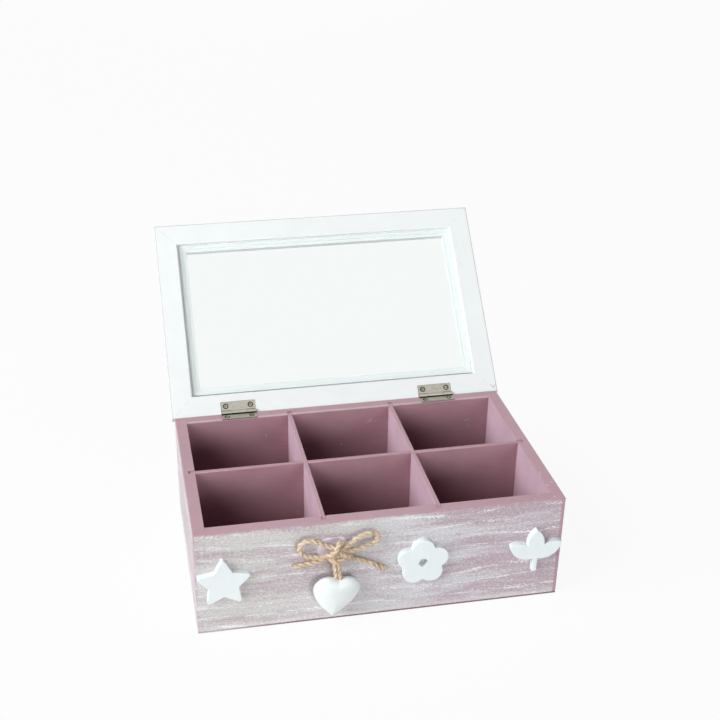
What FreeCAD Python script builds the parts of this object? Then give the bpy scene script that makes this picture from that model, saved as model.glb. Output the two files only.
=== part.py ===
import FreeCAD
import Part
import math
import os

from FreeCAD import Vector

# Wooden box with six compartments and a hinged glass lid, millimetres.
# The origin is the centre of the underside: +X right, +Y to the hinged back, +Z up.
# The lid is modelled shut and then turned open about its pins, as it stands at rest.

# Box walls and base
box_width = 240.0
box_depth = 148.0
box_height = 76.0
wall = 8.0
corner_rebate = 4.0
base_thickness = 4.0
base_rebate = 4.0
wall_edge_radius = 0.8

# Dividers, let into grooves in the walls and lapped where they cross
divider_thickness = 3.0
divider_drop = 0.5
groove_depth = 4.2
groove_end_gap = 1.0
divider_clearance = 0.1
lap_height_share = 0.5
cross_divider_share = 1.0 / 3.0

# Base nails
nail_radius = 0.6
nail_length = 14.0
nail_head_radius = 1.2
nail_head_height = 0.5
nail_clearance = 0.05
long_side_nail_shares = (-0.4, 0.0, 0.4)
short_side_nail_shares = (-0.3, 0.3)

# Lid frame and glass
lid_overhang = 1.6
lid_thickness = 7.5
lid_gap = 0.4
lid_open_angle = 135.0
lid_edge_radius = 0.6
lid_top_radius = 1.6
rail_face = 16.0
glass_lip = 6.0
glass_rebate = 3.0
glass_thickness = 2.0
glass_edge_gap = 0.5
sealant_thickness = 0.4
sealant_width = 3.0

# Hinges
hinge_length = 25.0
hinge_inset = 46.5
pin_radius = 0.8
pin_clearance = 0.05
pin_back_offset = 0.8
knuckle_radius = 1.7
knuckle_relief = 0.3
knuckle_gap = 0.2
end_knuckle_share = 0.27
leaf_thickness = 1.0
leaf_reach = 8.4
leaf_face_gap = 0.1
leaf_corner_radius = 0.8
mortise_clearance = 0.2
stop_clearance = 0.3

# Hinge screws
screw_head_radius = 2.0
screw_radius = 1.0
screw_length = 6.5
screw_tip_length = 2.0
screw_end_inset = 3.5
screw_reach = 5.2
screw_clearance = 0.05
cross_slot_length = 2.4
cross_slot_width = 0.5
cross_slot_depth = 0.6
cross_slot_turns = (20.0, 65.0, 40.0, 5.0)

# White cut-out ornaments on the front
ornament_thickness = 4.0
ornament_edge_radius = 0.4
ornament_height = 40.0
star_inset = 17.6
star_radius = 19.2
star_points = 5
star_waist_share = 0.52
star_tip_radius = 1.5
flower_offset = 26.0
flower_radius = 17.0
flower_petals = 5
petal_share = 0.44
petal_dip_radius = 1.0
flower_eye_radius = 3.0
sprig_inset = 18.6
sprig_height = 33.0
sprig_bud_share = 0.66
sprig_leaf_share = 0.62
leaf_width_share = 0.52
sprig_leaf_angle = 58.0
sprig_fork_share = 0.32
sprig_stem_width = 3.2
blade_tip_radius = 0.6

# Jute bow: its anchor on the front, the glue behind it, its knot and twine
bow_x = -30.5
bow_drop = 21.0
twine_diameter = 2.6
pad_thickness = 1.0
pad_width = 19.0
pad_height = 14.5
pad_x = -2.4
pad_z = 3.2
pad_shares = ((-0.50, 0.02), (-0.42, 0.36), (-0.12, 0.50), (0.30, 0.46),
              (0.50, 0.10), (0.40, -0.30), (0.06, -0.50), (-0.34, -0.40))
knot_width = 12.4
knot_height = 14.0
knot_thickness = 5.5
knot_x = 0.2
knot_z = 4.0
knot_back = 3.75
knot_edge_radius = 1.8
knot_slot_width = 2.9
knot_back_cheek = 1.0
knot_cavity_radius = 4.3
knot_core_radius = 0.65
swing_x = -0.8
swing_z = -0.8

# Twine routes: right of the bow's anchor, out from the front, above the anchor
left_loop_route = (
    (-6.0, 6.2, 7.2), (-11.0, 5.8, 10.3), (-16.6, 5.0, 12.0), (-21.6, 4.3, 11.0), (-24.2, 4.0, 7.8),
    (-23.0, 4.0, 4.0), (-18.8, 4.4, 1.7), (-13.4, 5.0, 0.7), (-9.0, 5.8, 0.9), (-6.0, 6.2, 1.4))
right_loop_route = (
    (6.4, 6.2, 2.0), (10.2, 5.9, 3.0), (15.2, 5.2, 4.1), (20.4, 4.6, 5.7), (24.4, 4.3, 8.2),
    (24.8, 4.2, 11.6), (21.4, 4.3, 13.9), (16.8, 4.8, 12.9), (12.0, 5.4, 10.3), (8.6, 5.9, 7.6),
    (6.4, 6.2, 6.0))
tails_route = (
    (-26.4, 2.2, -7.8), (-20.9, 2.0, -7.0), (-15.0, 2.1, -6.4), (-9.2, 2.35, -5.1), (-3.6, 2.35, -2.5),
    (1.8, 2.35, -0.8), (6.9, 2.35, -3.5), (12.0, 2.4, -6.6), (17.1, 2.7, -9.2), (22.4, 2.9, -11.3),
    (27.6, 2.6, -14.7), (32.4, 2.2, -18.4))
hanger_route = (
    (-1.0, 6.2, -20.0), (-1.8, 6.2, -12.5), (-3.1, 6.2, -5.0), (-3.1, 6.2, 1.5),
    (1.5, 6.2, 1.5), (1.5, 6.2, -5.0), (1.3, 6.2, -12.5), (1.75, 6.2, -20.0))
arc_run_share = 0.45

# Puffed heart that hangs under the bow
heart_width = 30.4
heart_height = 29.6
heart_thickness = 11.0
heart_notch_x = 0.25
heart_notch_z = -17.2
heart_middle_out = 6.5
heart_tilt = 6.0
heart_pocket_clearance = 0.2
heart_puff_power = 2.3
heart_slice_shares = (-0.985, -0.90, -0.70, -0.38, 0.0, 0.38, 0.70, 0.90, 0.985)
# Right half of the outline from the notch to the tip, as shares of the half width and the height
heart_notch_share = 0.085
heart_half_shares = ((0.20, 0.020), (0.46, 0.0), (0.84, 0.085), (1.0, 0.315), (0.70, 0.665), (0.09, 0.975))
heart_centre_share = 0.40

# How far a cutting shape runs past the face that it opens
overrun = 1.0

# Places that follow from the sizes
half_width = box_width / 2
half_depth = box_depth / 2
front_y = -half_depth
divider_top = box_height - divider_drop
divider_tongue = groove_depth - groove_end_gap
inner_half_width = half_width - wall
inner_half_depth = half_depth - wall
cross_divider_x = inner_half_width * cross_divider_share
base_half_width = inner_half_width + base_rebate
base_half_depth = inner_half_depth + base_rebate
pin_y = half_depth + pin_back_offset
pin_z = box_height + lid_gap / 2
lid_bottom = box_height + lid_gap
lid_half_width = half_width + lid_overhang
lid_front_y = front_y - lid_overhang
twine_radius = twine_diameter / 2
bow_z = box_height - bow_drop


def block(low, high):
    """Solid box between two corners."""
    size = high - low
    return Part.makeBox(size.x, size.y, size.z, low)


def rod(radius, length, start, direction):
    """Solid cylinder from a start point along a direction."""
    return Part.makeCylinder(radius, length, start, direction)


def fused(shapes):
    """One solid from several that overlap."""
    result = shapes[0].fuse(shapes[1:])
    return result.removeSplitter()


def middle_of(edge):
    """Point halfway along an edge."""
    return edge.valueAt((edge.FirstParameter + edge.LastParameter) / 2)


def edges_where(shape, test):
    """Edges whose middle point passes the test."""
    return [edge for edge in shape.Edges if test(middle_of(edge))]


def near(a, b):
    """True for two lengths that are the same to the model's tolerance."""
    return math.isclose(a, b, rel_tol=1e-6, abs_tol=1e-6)


def nails():
    """Base nails, heads flush with the underside, points up in the walls."""
    rows = [(share * box_width, side * (base_half_depth - base_rebate / 2))
            for share in long_side_nail_shares for side in (-1, 1)]
    rows += [(side * (base_half_width - base_rebate / 2), share * box_depth)
             for share in short_side_nail_shares for side in (-1, 1)]
    return [nail(x, y, 0) for x, y in rows]


def nail(x, y, spare):
    """One nail standing at x, y, grown by spare all round for its hole."""
    foot = Vector(x, y, 0)
    up = Vector(0, 0, 1)
    head = rod(nail_head_radius + spare, nail_head_height + spare, foot, up)
    shank = rod(nail_radius + spare, nail_length + spare, foot, up)
    return fused([head, shank])


def nail_holes():
    """Holes that the nails leave in the base and the walls."""
    return [nail(solid.BoundBox.Center.x, solid.BoundBox.Center.y, nail_clearance) for solid in nails()]


def base_panel():
    """Thin board let into the walls' lower rebate."""
    board = block(Vector(-base_half_width, -base_half_depth, 0),
                  Vector(base_half_width, base_half_depth, base_thickness))
    return board.cut(nail_holes())


def base_space():
    """Room that the base takes out of the walls."""
    return block(Vector(-base_half_width, -base_half_depth, -overrun),
                 Vector(base_half_width, base_half_depth, base_thickness))


def cross_groove(x, side):
    """Groove for a cross divider's end in the front wall (-1) or the back wall (1)."""
    half = divider_thickness / 2 + divider_clearance
    ends = sorted((side * (inner_half_depth - overrun), side * (inner_half_depth + groove_depth)))
    return block(Vector(x - half, ends[0], base_thickness), Vector(x + half, ends[1], box_height + overrun))


def long_groove(side):
    """Groove for the long divider's end in the left wall (-1) or the right wall (1)."""
    half = divider_thickness / 2 + divider_clearance
    ends = sorted((side * (inner_half_width - overrun), side * (inner_half_width + groove_depth)))
    return block(Vector(ends[0], -half, base_thickness), Vector(ends[1], half, box_height + overrun))


def long_wall(side):
    """Front board (-1) or back board (1), full width, with rebates for the side boards at its ends."""
    outer = side * half_depth
    inner = side * inner_half_depth
    ys = sorted((outer, inner))
    board = block(Vector(-half_width, ys[0], 0), Vector(half_width, ys[1], box_height))
    middle = (outer + inner) / 2
    eased = edges_where(board, lambda p: near(p.y, outer))
    eased += edges_where(board, lambda p: near(abs(p.x), half_width) and near(p.y, middle))
    board = board.makeFillet(wall_edge_radius, eased)
    rebate = sorted((side * (inner_half_depth - overrun), side * (inner_half_depth + corner_rebate)))
    ends = [block(Vector(x, rebate[0], -overrun), Vector(x + wall + overrun, rebate[1], box_height + overrun))
            for x in (-half_width - overrun, half_width - wall)]
    grooves = [cross_groove(x, side) for x in (-cross_divider_x, cross_divider_x)]
    return board.cut(ends + grooves + [base_space()] + nail_holes())


def side_wall(side):
    """Left board (-1) or right board (1), set in the rebates of the front and back boards."""
    xs = sorted((side * half_width, side * inner_half_width))
    reach = inner_half_depth + corner_rebate
    board = block(Vector(xs[0], -reach, 0), Vector(xs[1], reach, box_height))
    eased = edges_where(board, lambda p: near(p.x, side * half_width) and near(p.y, 0))
    board = board.makeFillet(wall_edge_radius, eased)
    return board.cut([long_groove(side), base_space()] + nail_holes())


def lap_slot(x, low, high):
    """Square slot where two dividers cross, between two heights."""
    half = divider_thickness / 2 + divider_clearance
    return block(Vector(x - half, -half, low), Vector(x + half, half, high))


def lap_level():
    """Height where the two halves of a crossing meet."""
    return base_thickness + (divider_top - base_thickness) * lap_height_share


def long_divider():
    """Divider along the box, slotted from above for the cross dividers."""
    half = divider_thickness / 2
    reach = inner_half_width + divider_tongue
    board = block(Vector(-reach, -half, base_thickness), Vector(reach, half, divider_top))
    places = (-cross_divider_x, cross_divider_x)
    return board.cut([lap_slot(x, lap_level(), divider_top + overrun) for x in places])


def cross_divider(x):
    """Divider across the box, slotted from below to sit over the long one."""
    half = divider_thickness / 2
    reach = inner_half_depth + divider_tongue
    board = block(Vector(x - half, -reach, base_thickness), Vector(x + half, reach, divider_top))
    return board.cut(lap_slot(x, base_thickness - overrun, lap_level()))


def lid_back_overhang():
    """Overhang at the back whose eased edge meets the back board when the lid is fully open."""
    turn = math.radians(lid_open_angle)
    radius = lid_edge_radius
    shift = radius - pin_back_offset + stop_clearance - (radius + lid_gap / 2) * math.sin(turn)
    return radius + pin_back_offset + shift / math.cos(turn)


def opened(shape):
    """A lid piece turned from shut to its rest angle."""
    turned = shape.copy()
    turned.rotate(Vector(0, pin_y, pin_z), Vector(1, 0, 0), -lid_open_angle)
    return turned


def lid_ring():
    """Whole lid frame, shut, with its rebate for the glass and its eased edges."""
    back_y = half_depth + lid_back_overhang()
    low = Vector(-lid_half_width, lid_front_y, lid_bottom)
    high = Vector(lid_half_width, back_y, lid_bottom + lid_thickness)
    ring = block(low, high)
    ring = ring.makeFillet(lid_top_radius, edges_where(ring, lambda p: near(p.z, high.z)))
    ring = ring.makeFillet(lid_edge_radius, edges_where(ring, lambda p: near(p.z, low.z)))
    inset = Vector(rail_face, rail_face, 0)
    lip = lid_thickness - glass_rebate
    pocket = block(low + inset - Vector(0, 0, overrun), high - inset - Vector(0, 0, lip))
    clear = Vector(rail_face + glass_lip, rail_face + glass_lip, 0)
    opening = block(low + clear - Vector(0, 0, overrun), high - clear + Vector(0, 0, overrun))
    return ring.cut([pocket, opening])


def mitre_wedge(corner_a, corner_b):
    """Prism that keeps one rail: from the outer edge inwards at 45 degrees from both corners."""
    along = (corner_b - corner_a).normalize()
    inward = Vector(-along.y, along.x, 0)
    depth = rail_face + glass_lip + overrun
    points = [corner_a - (along + inward) * overrun, corner_b + (along - inward) * overrun,
              corner_b + (inward - along) * depth, corner_a + (inward + along) * depth]
    face = Part.Face(Part.makePolygon(points + points[:1]))
    return face.extrude(Vector(0, 0, lid_thickness + 2 * overrun))


def lid_rails():
    """The four mitred rails, shut, by name."""
    back_y = half_depth + lid_back_overhang()
    level = lid_bottom - overrun
    corners = [Vector(-lid_half_width, lid_front_y, level), Vector(lid_half_width, lid_front_y, level),
               Vector(lid_half_width, back_y, level), Vector(-lid_half_width, back_y, level)]
    names = ("lid_front_rail", "lid_right_rail", "lid_back_rail", "lid_left_rail")
    ring = lid_ring()
    rails = {}
    for index, name in enumerate(names):
        wedge = mitre_wedge(corners[index], corners[(index + 1) % len(corners)])
        rails[name] = ring.common(wedge)
    return rails


def glass_box(inset, low_z, high_z):
    """Box that follows the lid's glass rebate, inset from its edge, between two heights."""
    back_y = half_depth + lid_back_overhang()
    edge = rail_face + inset
    return block(Vector(-lid_half_width + edge, lid_front_y + edge, low_z),
                 Vector(lid_half_width - edge, back_y - edge, high_z))


def glass_pane():
    """Glass sheet, shut, bedded on the sealant."""
    top = lid_bottom + glass_rebate - sealant_thickness
    return glass_box(glass_edge_gap, top - glass_thickness, top)


def glass_sealant():
    """Thin ring of clear sealant between the glass and the frame's lip."""
    low = lid_bottom + glass_rebate - sealant_thickness
    high = lid_bottom + glass_rebate
    ring = glass_box(glass_edge_gap, low, high)
    return ring.cut(glass_box(glass_edge_gap + sealant_width, low - overrun, high + overrun))


def hinge_centres():
    """Middle of each hinge along the back, by name."""
    x = half_width - hinge_inset
    return {"left": -x, "right": x}


def pin_rod(radius, start, end):
    """Cylinder on the pins' line between two places along X."""
    return rod(radius, end - start, Vector(start, pin_y, pin_z), Vector(1, 0, 0))


def knuckle_spans(centre):
    """Ends of the three knuckles along X: two end ones of the box leaf and the middle one of the lid leaf."""
    start = centre - hinge_length / 2
    end = centre + hinge_length / 2
    first = start + hinge_length * end_knuckle_share
    second = end - hinge_length * end_knuckle_share
    half_gap = knuckle_gap / 2
    return [(start, first - half_gap), (second + half_gap, end)], [(first + half_gap, second - half_gap)]


def knuckle_room(span):
    """Room that the other leaf leaves round a knuckle."""
    return pin_rod(knuckle_radius + knuckle_relief, span[0] - knuckle_gap, span[1] + knuckle_gap)


def screw_places(centre):
    """Where a leaf's two screws stand along X."""
    offset = hinge_length / 2 - screw_end_inset
    return [centre - offset, centre + offset]


def leaf_top():
    """Height of the box leaf's face."""
    return pin_z - leaf_face_gap


def hinge_leaf(centre, own, other):
    """Hinge leaf that lies in the rim, with its knuckles and countersunk holes."""
    top = leaf_top()
    plate = block(Vector(centre - hinge_length / 2, pin_y - leaf_reach, top - leaf_thickness),
                  Vector(centre + hinge_length / 2, pin_y, top))
    middle = top - leaf_thickness / 2
    corners = edges_where(plate, lambda p: near(p.y, pin_y - leaf_reach) and near(p.z, middle))
    plate = plate.makeFillet(leaf_corner_radius, corners)
    plate = plate.cut([knuckle_room(span) for span in other])
    leaf = fused([plate] + [pin_rod(knuckle_radius, span[0], span[1]) for span in own])
    hole = pin_rod(pin_radius + pin_clearance, centre - hinge_length, centre + hinge_length)
    sinks = [countersink(x, screw_clearance) for x in screw_places(centre)]
    return leaf.cut([hole] + sinks)


def countersink(x, spare):
    """Screw head's cone in the leaf, grown by spare."""
    top = Vector(x, pin_y - screw_reach, leaf_top())
    down = Vector(0, 0, -1)
    return Part.makeCone(screw_head_radius + spare, screw_radius + spare, leaf_thickness, top, down)


def hinge_screw(x, turn):
    """Countersunk cross-head screw that holds the leaf down into the rim."""
    top = Vector(x, pin_y - screw_reach, leaf_top())
    down = Vector(0, 0, -1)
    neck = top + down * leaf_thickness
    shank_length = screw_length - leaf_thickness - screw_tip_length
    shank = rod(screw_radius, shank_length, neck, down)
    tip = Part.makeCone(screw_radius, 0, screw_tip_length, neck + down * shank_length, down)
    screw = fused([countersink(x, 0), shank, tip])
    half = Vector(cross_slot_length / 2, cross_slot_width / 2, cross_slot_depth)
    slots = []
    for quarter in (0, 90):
        slot = block(top - half, top + Vector(half.x, half.y, overrun))
        slot.rotate(top, Vector(0, 0, 1), turn + quarter)
        slots.append(slot)
    return screw.cut(slots)


def screw_hole(x):
    """Pilot hole for a hinge screw in the wood."""
    top = Vector(x, pin_y - screw_reach, leaf_top())
    return rod(screw_radius + screw_clearance, screw_length + screw_clearance, top, Vector(0, 0, -1))


def mortise(centre, inner_y):
    """Recess for a leaf in the rim, open at the back and reaching inwards to inner_y."""
    half = hinge_length / 2 + mortise_clearance
    return block(Vector(centre - half, inner_y, leaf_top() - leaf_thickness),
                 Vector(centre + half, pin_y + knuckle_radius + overrun, leaf_top() + overrun))


def knuckle_groove(centre):
    """Round groove that clears the knuckles in the rim and the lid."""
    half = hinge_length / 2 + mortise_clearance
    return pin_rod(knuckle_radius + knuckle_relief, centre - half, centre + half)


def mirrored_up(shape):
    """The same piece on the lid's side of the closing plane, shut."""
    return shape.mirror(Vector(0, 0, pin_z), Vector(0, 0, 1))


def back_cuts():
    """Cuts in the back board's rim for both hinges: the mortise runs out to the inside."""
    cuts = []
    for centre in hinge_centres().values():
        cuts += [mortise(centre, inner_half_depth - overrun), knuckle_groove(centre)]
        cuts += [screw_hole(x) for x in screw_places(centre)]
    return cuts


def lid_cuts():
    """Cuts in the lid's back rail for both hinges."""
    cuts = []
    for centre in hinge_centres().values():
        cuts += [mirrored_up(mortise(centre, pin_y - leaf_reach - mortise_clearance)), knuckle_groove(centre)]
        cuts += [mirrored_up(screw_hole(x)) for x in screw_places(centre)]
    return cuts


def soft_cut_out(outline, corner_radius):
    """Flat ornament from an outline on the front, with rounded corners and an eased front edge."""
    solid = Part.Face(outline).extrude(Vector(0, -ornament_thickness, 0))
    middle = front_y - ornament_thickness / 2
    solid = solid.makeFillet(corner_radius, edges_where(solid, lambda p: near(p.y, middle)))
    front = front_y - ornament_thickness
    return solid.makeFillet(ornament_edge_radius, edges_where(solid, lambda p: near(p.y, front)))


def on_front(x, z):
    """Point on the front board's face."""
    return Vector(x, front_y, z)


def star_ornament():
    """Five-pointed star with blunt points at the left of the front."""
    centre = on_front(-half_width + star_inset, ornament_height)
    points = []
    for step in range(2 * star_points):
        radius = star_radius if step % 2 == 0 else star_radius * star_waist_share
        angle = math.pi * step / star_points
        points.append(centre + Vector(radius * math.sin(angle), 0, radius * math.cos(angle)))
    return soft_cut_out(Part.makePolygon(points + points[:1]), star_tip_radius)


def flower_ornament():
    """Round-petalled flower with a drilled eye, right of the front's middle."""
    centre = on_front(flower_offset, ornament_height)
    petal_radius = flower_radius * petal_share
    reach = flower_radius - petal_radius
    half_step = math.pi / flower_petals
    waist = reach * math.cos(half_step) + math.sqrt(petal_radius ** 2 - (reach * math.sin(half_step)) ** 2)

    def place(radius, angle):
        return centre + Vector(radius * math.sin(angle), 0, radius * math.cos(angle))

    arcs = []
    for step in range(flower_petals):
        angle = 2 * half_step * step
        ends = (place(waist, angle - half_step), place(flower_radius, angle), place(waist, angle + half_step))
        arcs.append(Part.Arc(*ends).toShape())
    solid = soft_cut_out(Part.Wire(arcs), petal_dip_radius)
    return solid.cut(rod(flower_eye_radius, ornament_thickness + overrun, centre, Vector(0, -1, 0)))


def leaf_blade(root, length, angle):
    """Pointed leaf of two arcs from its root, leaning by an angle from upright."""
    lean = math.radians(angle)
    along = Vector(math.sin(lean), 0, math.cos(lean))
    across = Vector(math.cos(lean), 0, -math.sin(lean))
    tip = root + along * length
    middle = root + along * (length / 2)
    half = across * (length * leaf_width_share / 2)
    sides = [Part.Arc(root, middle - half, tip), Part.Arc(tip, middle + half, root)]
    outline = Part.Wire([side.toShape() for side in sides])
    return soft_cut_out(outline, blade_tip_radius)


def sprig_ornament():
    """Sprig of a bud and two leaves on a stem at the right of the front."""
    foot = on_front(half_width - sprig_inset, ornament_height - sprig_height / 2)
    fork = foot + Vector(0, 0, sprig_height * sprig_fork_share)
    half = Vector(sprig_stem_width / 2, 0, 0)
    top = fork + Vector(0, 0, sprig_stem_width)
    corners = [foot - half, foot + half, top + half, top - half]
    stem = soft_cut_out(Part.makePolygon(corners + corners[:1]), blade_tip_radius)
    blades = [leaf_blade(fork, sprig_height * sprig_bud_share, 0)]
    for lean in (-sprig_leaf_angle, sprig_leaf_angle):
        blades.append(leaf_blade(fork, sprig_height * sprig_leaf_share, lean))
    return fused([stem] + blades)


def on_bow(point):
    """A bow route's point as a place in the box's frame."""
    return Vector(bow_x + point[0], front_y - point[1], bow_z + point[2])


def bow_glue_pad():
    """Flat blob of set glue behind the knot, of arcs through its points."""
    centre = Vector(bow_x + pad_x, front_y, bow_z + pad_z)
    points = [centre + Vector(pad_width * x, 0, pad_height * z) for x, z in pad_shares]
    arcs = []
    for start in range(0, len(points), 2):
        ends = (points[start], points[start + 1], points[(start + 2) % len(points)])
        arcs.append(Part.Arc(*ends).toShape())
    return Part.Face(Part.Wire(arcs)).extrude(Vector(0, -pad_thickness, 0))


def bow_knot():
    """Knot: two cheeks joined at the top, with a core between them that the heart's hanger runs round."""
    centre = Vector(bow_x + knot_x, 0, bow_z + knot_z)
    low = Vector(centre.x - knot_width / 2, front_y - knot_back - knot_thickness, centre.z - knot_height / 2)
    high = Vector(centre.x + knot_width / 2, front_y - knot_back, centre.z + knot_height / 2)
    body = block(low, high)
    body = body.makeFillet(knot_edge_radius, body.Edges)
    pivot = swing_point()
    slot_back = front_y - knot_back - knot_back_cheek
    slot_front = slot_back - knot_slot_width
    out = Vector(0, -1, 0)
    slot = block(Vector(low.x - overrun, slot_front, low.z - overrun),
                 Vector(high.x + overrun, slot_back, pivot.z))
    cavity = rod(knot_cavity_radius, knot_slot_width, Vector(pivot.x, slot_back, pivot.z), out)
    core = rod(knot_core_radius, knot_slot_width, Vector(pivot.x, slot_back, pivot.z), out)
    return fused([body.cut([slot, cavity]), core])


def swing_point():
    """Point on the front's plane that the pendant swings about."""
    return Vector(bow_x + swing_x, front_y, bow_z + swing_z)


def twine(name, route):
    """Tube along straight runs joined by tangent arcs as wide as the runs allow; prints what it measures."""
    points = [on_bow(point) for point in route]
    edges = []
    radii = []
    start = points[0]
    for before, corner, after in zip(points, points[1:], points[2:]):
        run_in = corner - before
        run_out = after - corner
        cut = arc_run_share * min(run_in.Length, run_out.Length)
        turn = run_in.getAngle(run_out)
        radius = cut / math.tan(turn / 2)
        radii.append(round(radius, 1))
        enter = corner - run_in.normalize() * cut
        leave = corner + run_out.normalize() * cut
        inward = ((enter + leave) / 2 - corner).normalize()
        centre_distance = radius / math.cos(turn / 2)
        apex = corner + inward * (centre_distance - radius)
        edges += [Part.LineSegment(start, enter).toShape(), Part.Arc(enter, apex, leave).toShape()]
        start = leave
    edges.append(Part.LineSegment(start, points[-1]).toShape())
    path = Part.Wire(edges)
    ring = Part.Wire(Part.Circle(points[0], points[1] - points[0], twine_radius).toShape())
    tube = path.makePipeShell([ring], True, False)
    section = math.pi * twine_radius ** 2
    ratio = tube.Volume / (section * path.Length)
    print(name, "length", round(path.Length, 1), "radii", radii, "volume ratio", round(ratio, 4))
    return tube


def heart_slice(share):
    """Outline of the heart at one depth, drawn in towards its middle as the puffed face closes."""
    scale = (1 - abs(share) ** heart_puff_power) ** (1 / heart_puff_power)
    half = heart_width / 2
    middle = -heart_height * heart_centre_share
    depth = -share * heart_thickness / 2

    def place(side, point):
        u = side * point[0] * half * scale
        v = middle + (-point[1] * heart_height - middle) * scale
        return Vector(u, depth, v)

    notch = place(1, (0, heart_notch_share))
    tip = place(1, (0, 1))
    right = [place(1, point) for point in heart_half_shares]
    left = [place(-1, point) for point in heart_half_shares]
    arcs = [(notch, right[0], right[1]), (right[1], right[2], right[3]), (right[3], right[4], right[5]),
            (right[5], tip, left[5]), (left[5], left[4], left[3]), (left[3], left[2], left[1]),
            (left[1], left[0], notch)]
    return Part.Wire([Part.Arc(*ends).toShape() for ends in arcs])


def heart_pendant():
    """Puffed heart, tilted as it hangs, with a pocket in its notch for the twine."""
    heart = Part.makeLoft([heart_slice(share) for share in heart_slice_shares], True, False)
    heart.rotate(Vector(0, 0, -heart_notch_share * heart_height), Vector(0, 1, 0), heart_tilt)
    notch = on_bow((heart_notch_x, heart_middle_out, heart_notch_z))
    heart.translate(notch + Vector(0, 0, heart_notch_share * heart_height))
    ends = [on_bow(hanger_route[0]), on_bow(hanger_route[-1])]
    reach = twine_radius + heart_pocket_clearance
    foot = min(ends[0].z, ends[1].z)
    height = notch.z + heart_height * heart_notch_share + overrun - foot
    pocket = block(Vector(ends[0].x, ends[0].y - reach, foot),
                   Vector(ends[1].x, ends[0].y + reach, foot + height))
    sides = [rod(reach, height, Vector(end.x, end.y, foot), Vector(0, 0, 1)) for end in ends]
    return heart.cut(fused([pocket] + sides))


def build():
    """All pieces by node name."""
    pieces = {
        "front_panel": long_wall(-1),
        "back_panel": long_wall(1).cut(back_cuts()),
        "left_panel": side_wall(-1),
        "right_panel": side_wall(1),
        "base_panel": base_panel(),
        "base_nails": Part.makeCompound(nails()),
        "long_divider": long_divider(),
        "left_cross_divider": cross_divider(-cross_divider_x),
        "right_cross_divider": cross_divider(cross_divider_x),
        "star_ornament": star_ornament(),
        "flower_ornament": flower_ornament(),
        "sprig_ornament": sprig_ornament(),
        "bow_glue_pad": bow_glue_pad(),
        "bow_knot": bow_knot(),
        "bow_left_loop": twine("bow_left_loop", left_loop_route),
        "bow_right_loop": twine("bow_right_loop", right_loop_route),
        "bow_tails": twine("bow_tails", tails_route),
        "heart_hanger": twine("heart_hanger", hanger_route),
        "heart_pendant": heart_pendant(),
        "glass_pane": opened(glass_pane()),
        "glass_sealant": opened(glass_sealant()),
    }
    for name, rail in lid_rails().items():
        shut = rail.cut(lid_cuts()) if name == "lid_back_rail" else rail
        pieces[name] = opened(shut)
    screws = []
    for side, centre in hinge_centres().items():
        box_spans, lid_spans = knuckle_spans(centre)
        pieces[side + "_hinge_box_leaf"] = hinge_leaf(centre, box_spans, lid_spans)
        pieces[side + "_hinge_lid_leaf"] = opened(mirrored_up(hinge_leaf(centre, lid_spans, box_spans)))
        half = hinge_length / 2
        pieces[side + "_hinge_pin"] = pin_rod(pin_radius, centre - half, centre + half)
        screws += screw_places(centre)
    turned = [hinge_screw(x, turn) for x, turn in zip(screws, cross_slot_turns)]
    pieces["box_leaf_screws"] = Part.makeCompound(turned)
    pieces["lid_leaf_screws"] = Part.makeCompound([opened(mirrored_up(screw)) for screw in turned])
    return pieces


os.makedirs("parts", exist_ok=True)
for node, shape in build().items():
    shape.exportStep("parts/" + node + ".step")
    print(node, len(shape.Solids), round(shape.Volume, 1), shape.isValid())
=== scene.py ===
"""Looks of a wooden box with six compartments, a hinged glass lid, and a jute bow with a hanging heart."""
import logging
import math
from dataclasses import dataclass
from enum import Enum
from random import Random
from typing import Any, Callable, ClassVar, NamedTuple, Sequence

import bmesh
import bpy
from mathutils import Matrix, Vector, noise


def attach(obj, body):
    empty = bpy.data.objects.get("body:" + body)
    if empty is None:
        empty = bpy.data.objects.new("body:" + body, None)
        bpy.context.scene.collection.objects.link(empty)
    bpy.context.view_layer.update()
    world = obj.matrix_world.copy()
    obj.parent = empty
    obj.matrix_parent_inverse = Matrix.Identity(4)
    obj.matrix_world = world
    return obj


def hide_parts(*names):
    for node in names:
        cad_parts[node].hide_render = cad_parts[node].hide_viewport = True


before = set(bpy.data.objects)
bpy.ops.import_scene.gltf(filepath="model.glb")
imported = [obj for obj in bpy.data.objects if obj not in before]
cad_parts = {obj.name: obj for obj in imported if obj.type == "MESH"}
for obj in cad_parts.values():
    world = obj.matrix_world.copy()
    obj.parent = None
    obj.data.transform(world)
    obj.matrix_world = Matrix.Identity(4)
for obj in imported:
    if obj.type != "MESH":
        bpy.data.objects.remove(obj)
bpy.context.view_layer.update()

LOG = logging.getLogger("compartment_box")
# A plain size is in millimetres, and a size times MM in metres.
MM = 0.001
PER_METRE = 1000.0
PIN_LINE = Vector((0.0, 74.8, 76.2))
LID_OPEN = math.radians(135.0)
HINGE_CENTRE = 73.5
HINGE_ROOM = 14.0
MERGE_DISTANCE = 0.001 * MM
FLAT_ANGLE = math.radians(0.5)
SHARP_ANGLE = math.radians(50.0)
SHORTEST_EASED = 2.0 * MM
EASE_SEGMENTS = 3
SPLINE_ORDER = 3
SPLINE_STEPS = 16
EDGE_HOLD = 5

Point = tuple[float, float, float]
Colour = tuple[float, float, float, float]
Line = list[Vector]
Shape = bmesh.types.BMesh
Wire = bpy.types.NodeSocket
Ease = tuple[float, Callable[[Vector], bool]]


class Body(Enum):
    """Bodies that pieces ride on."""

    BOX = "box"
    LID = "lid"
    PENDANT = "pendant"


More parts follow.
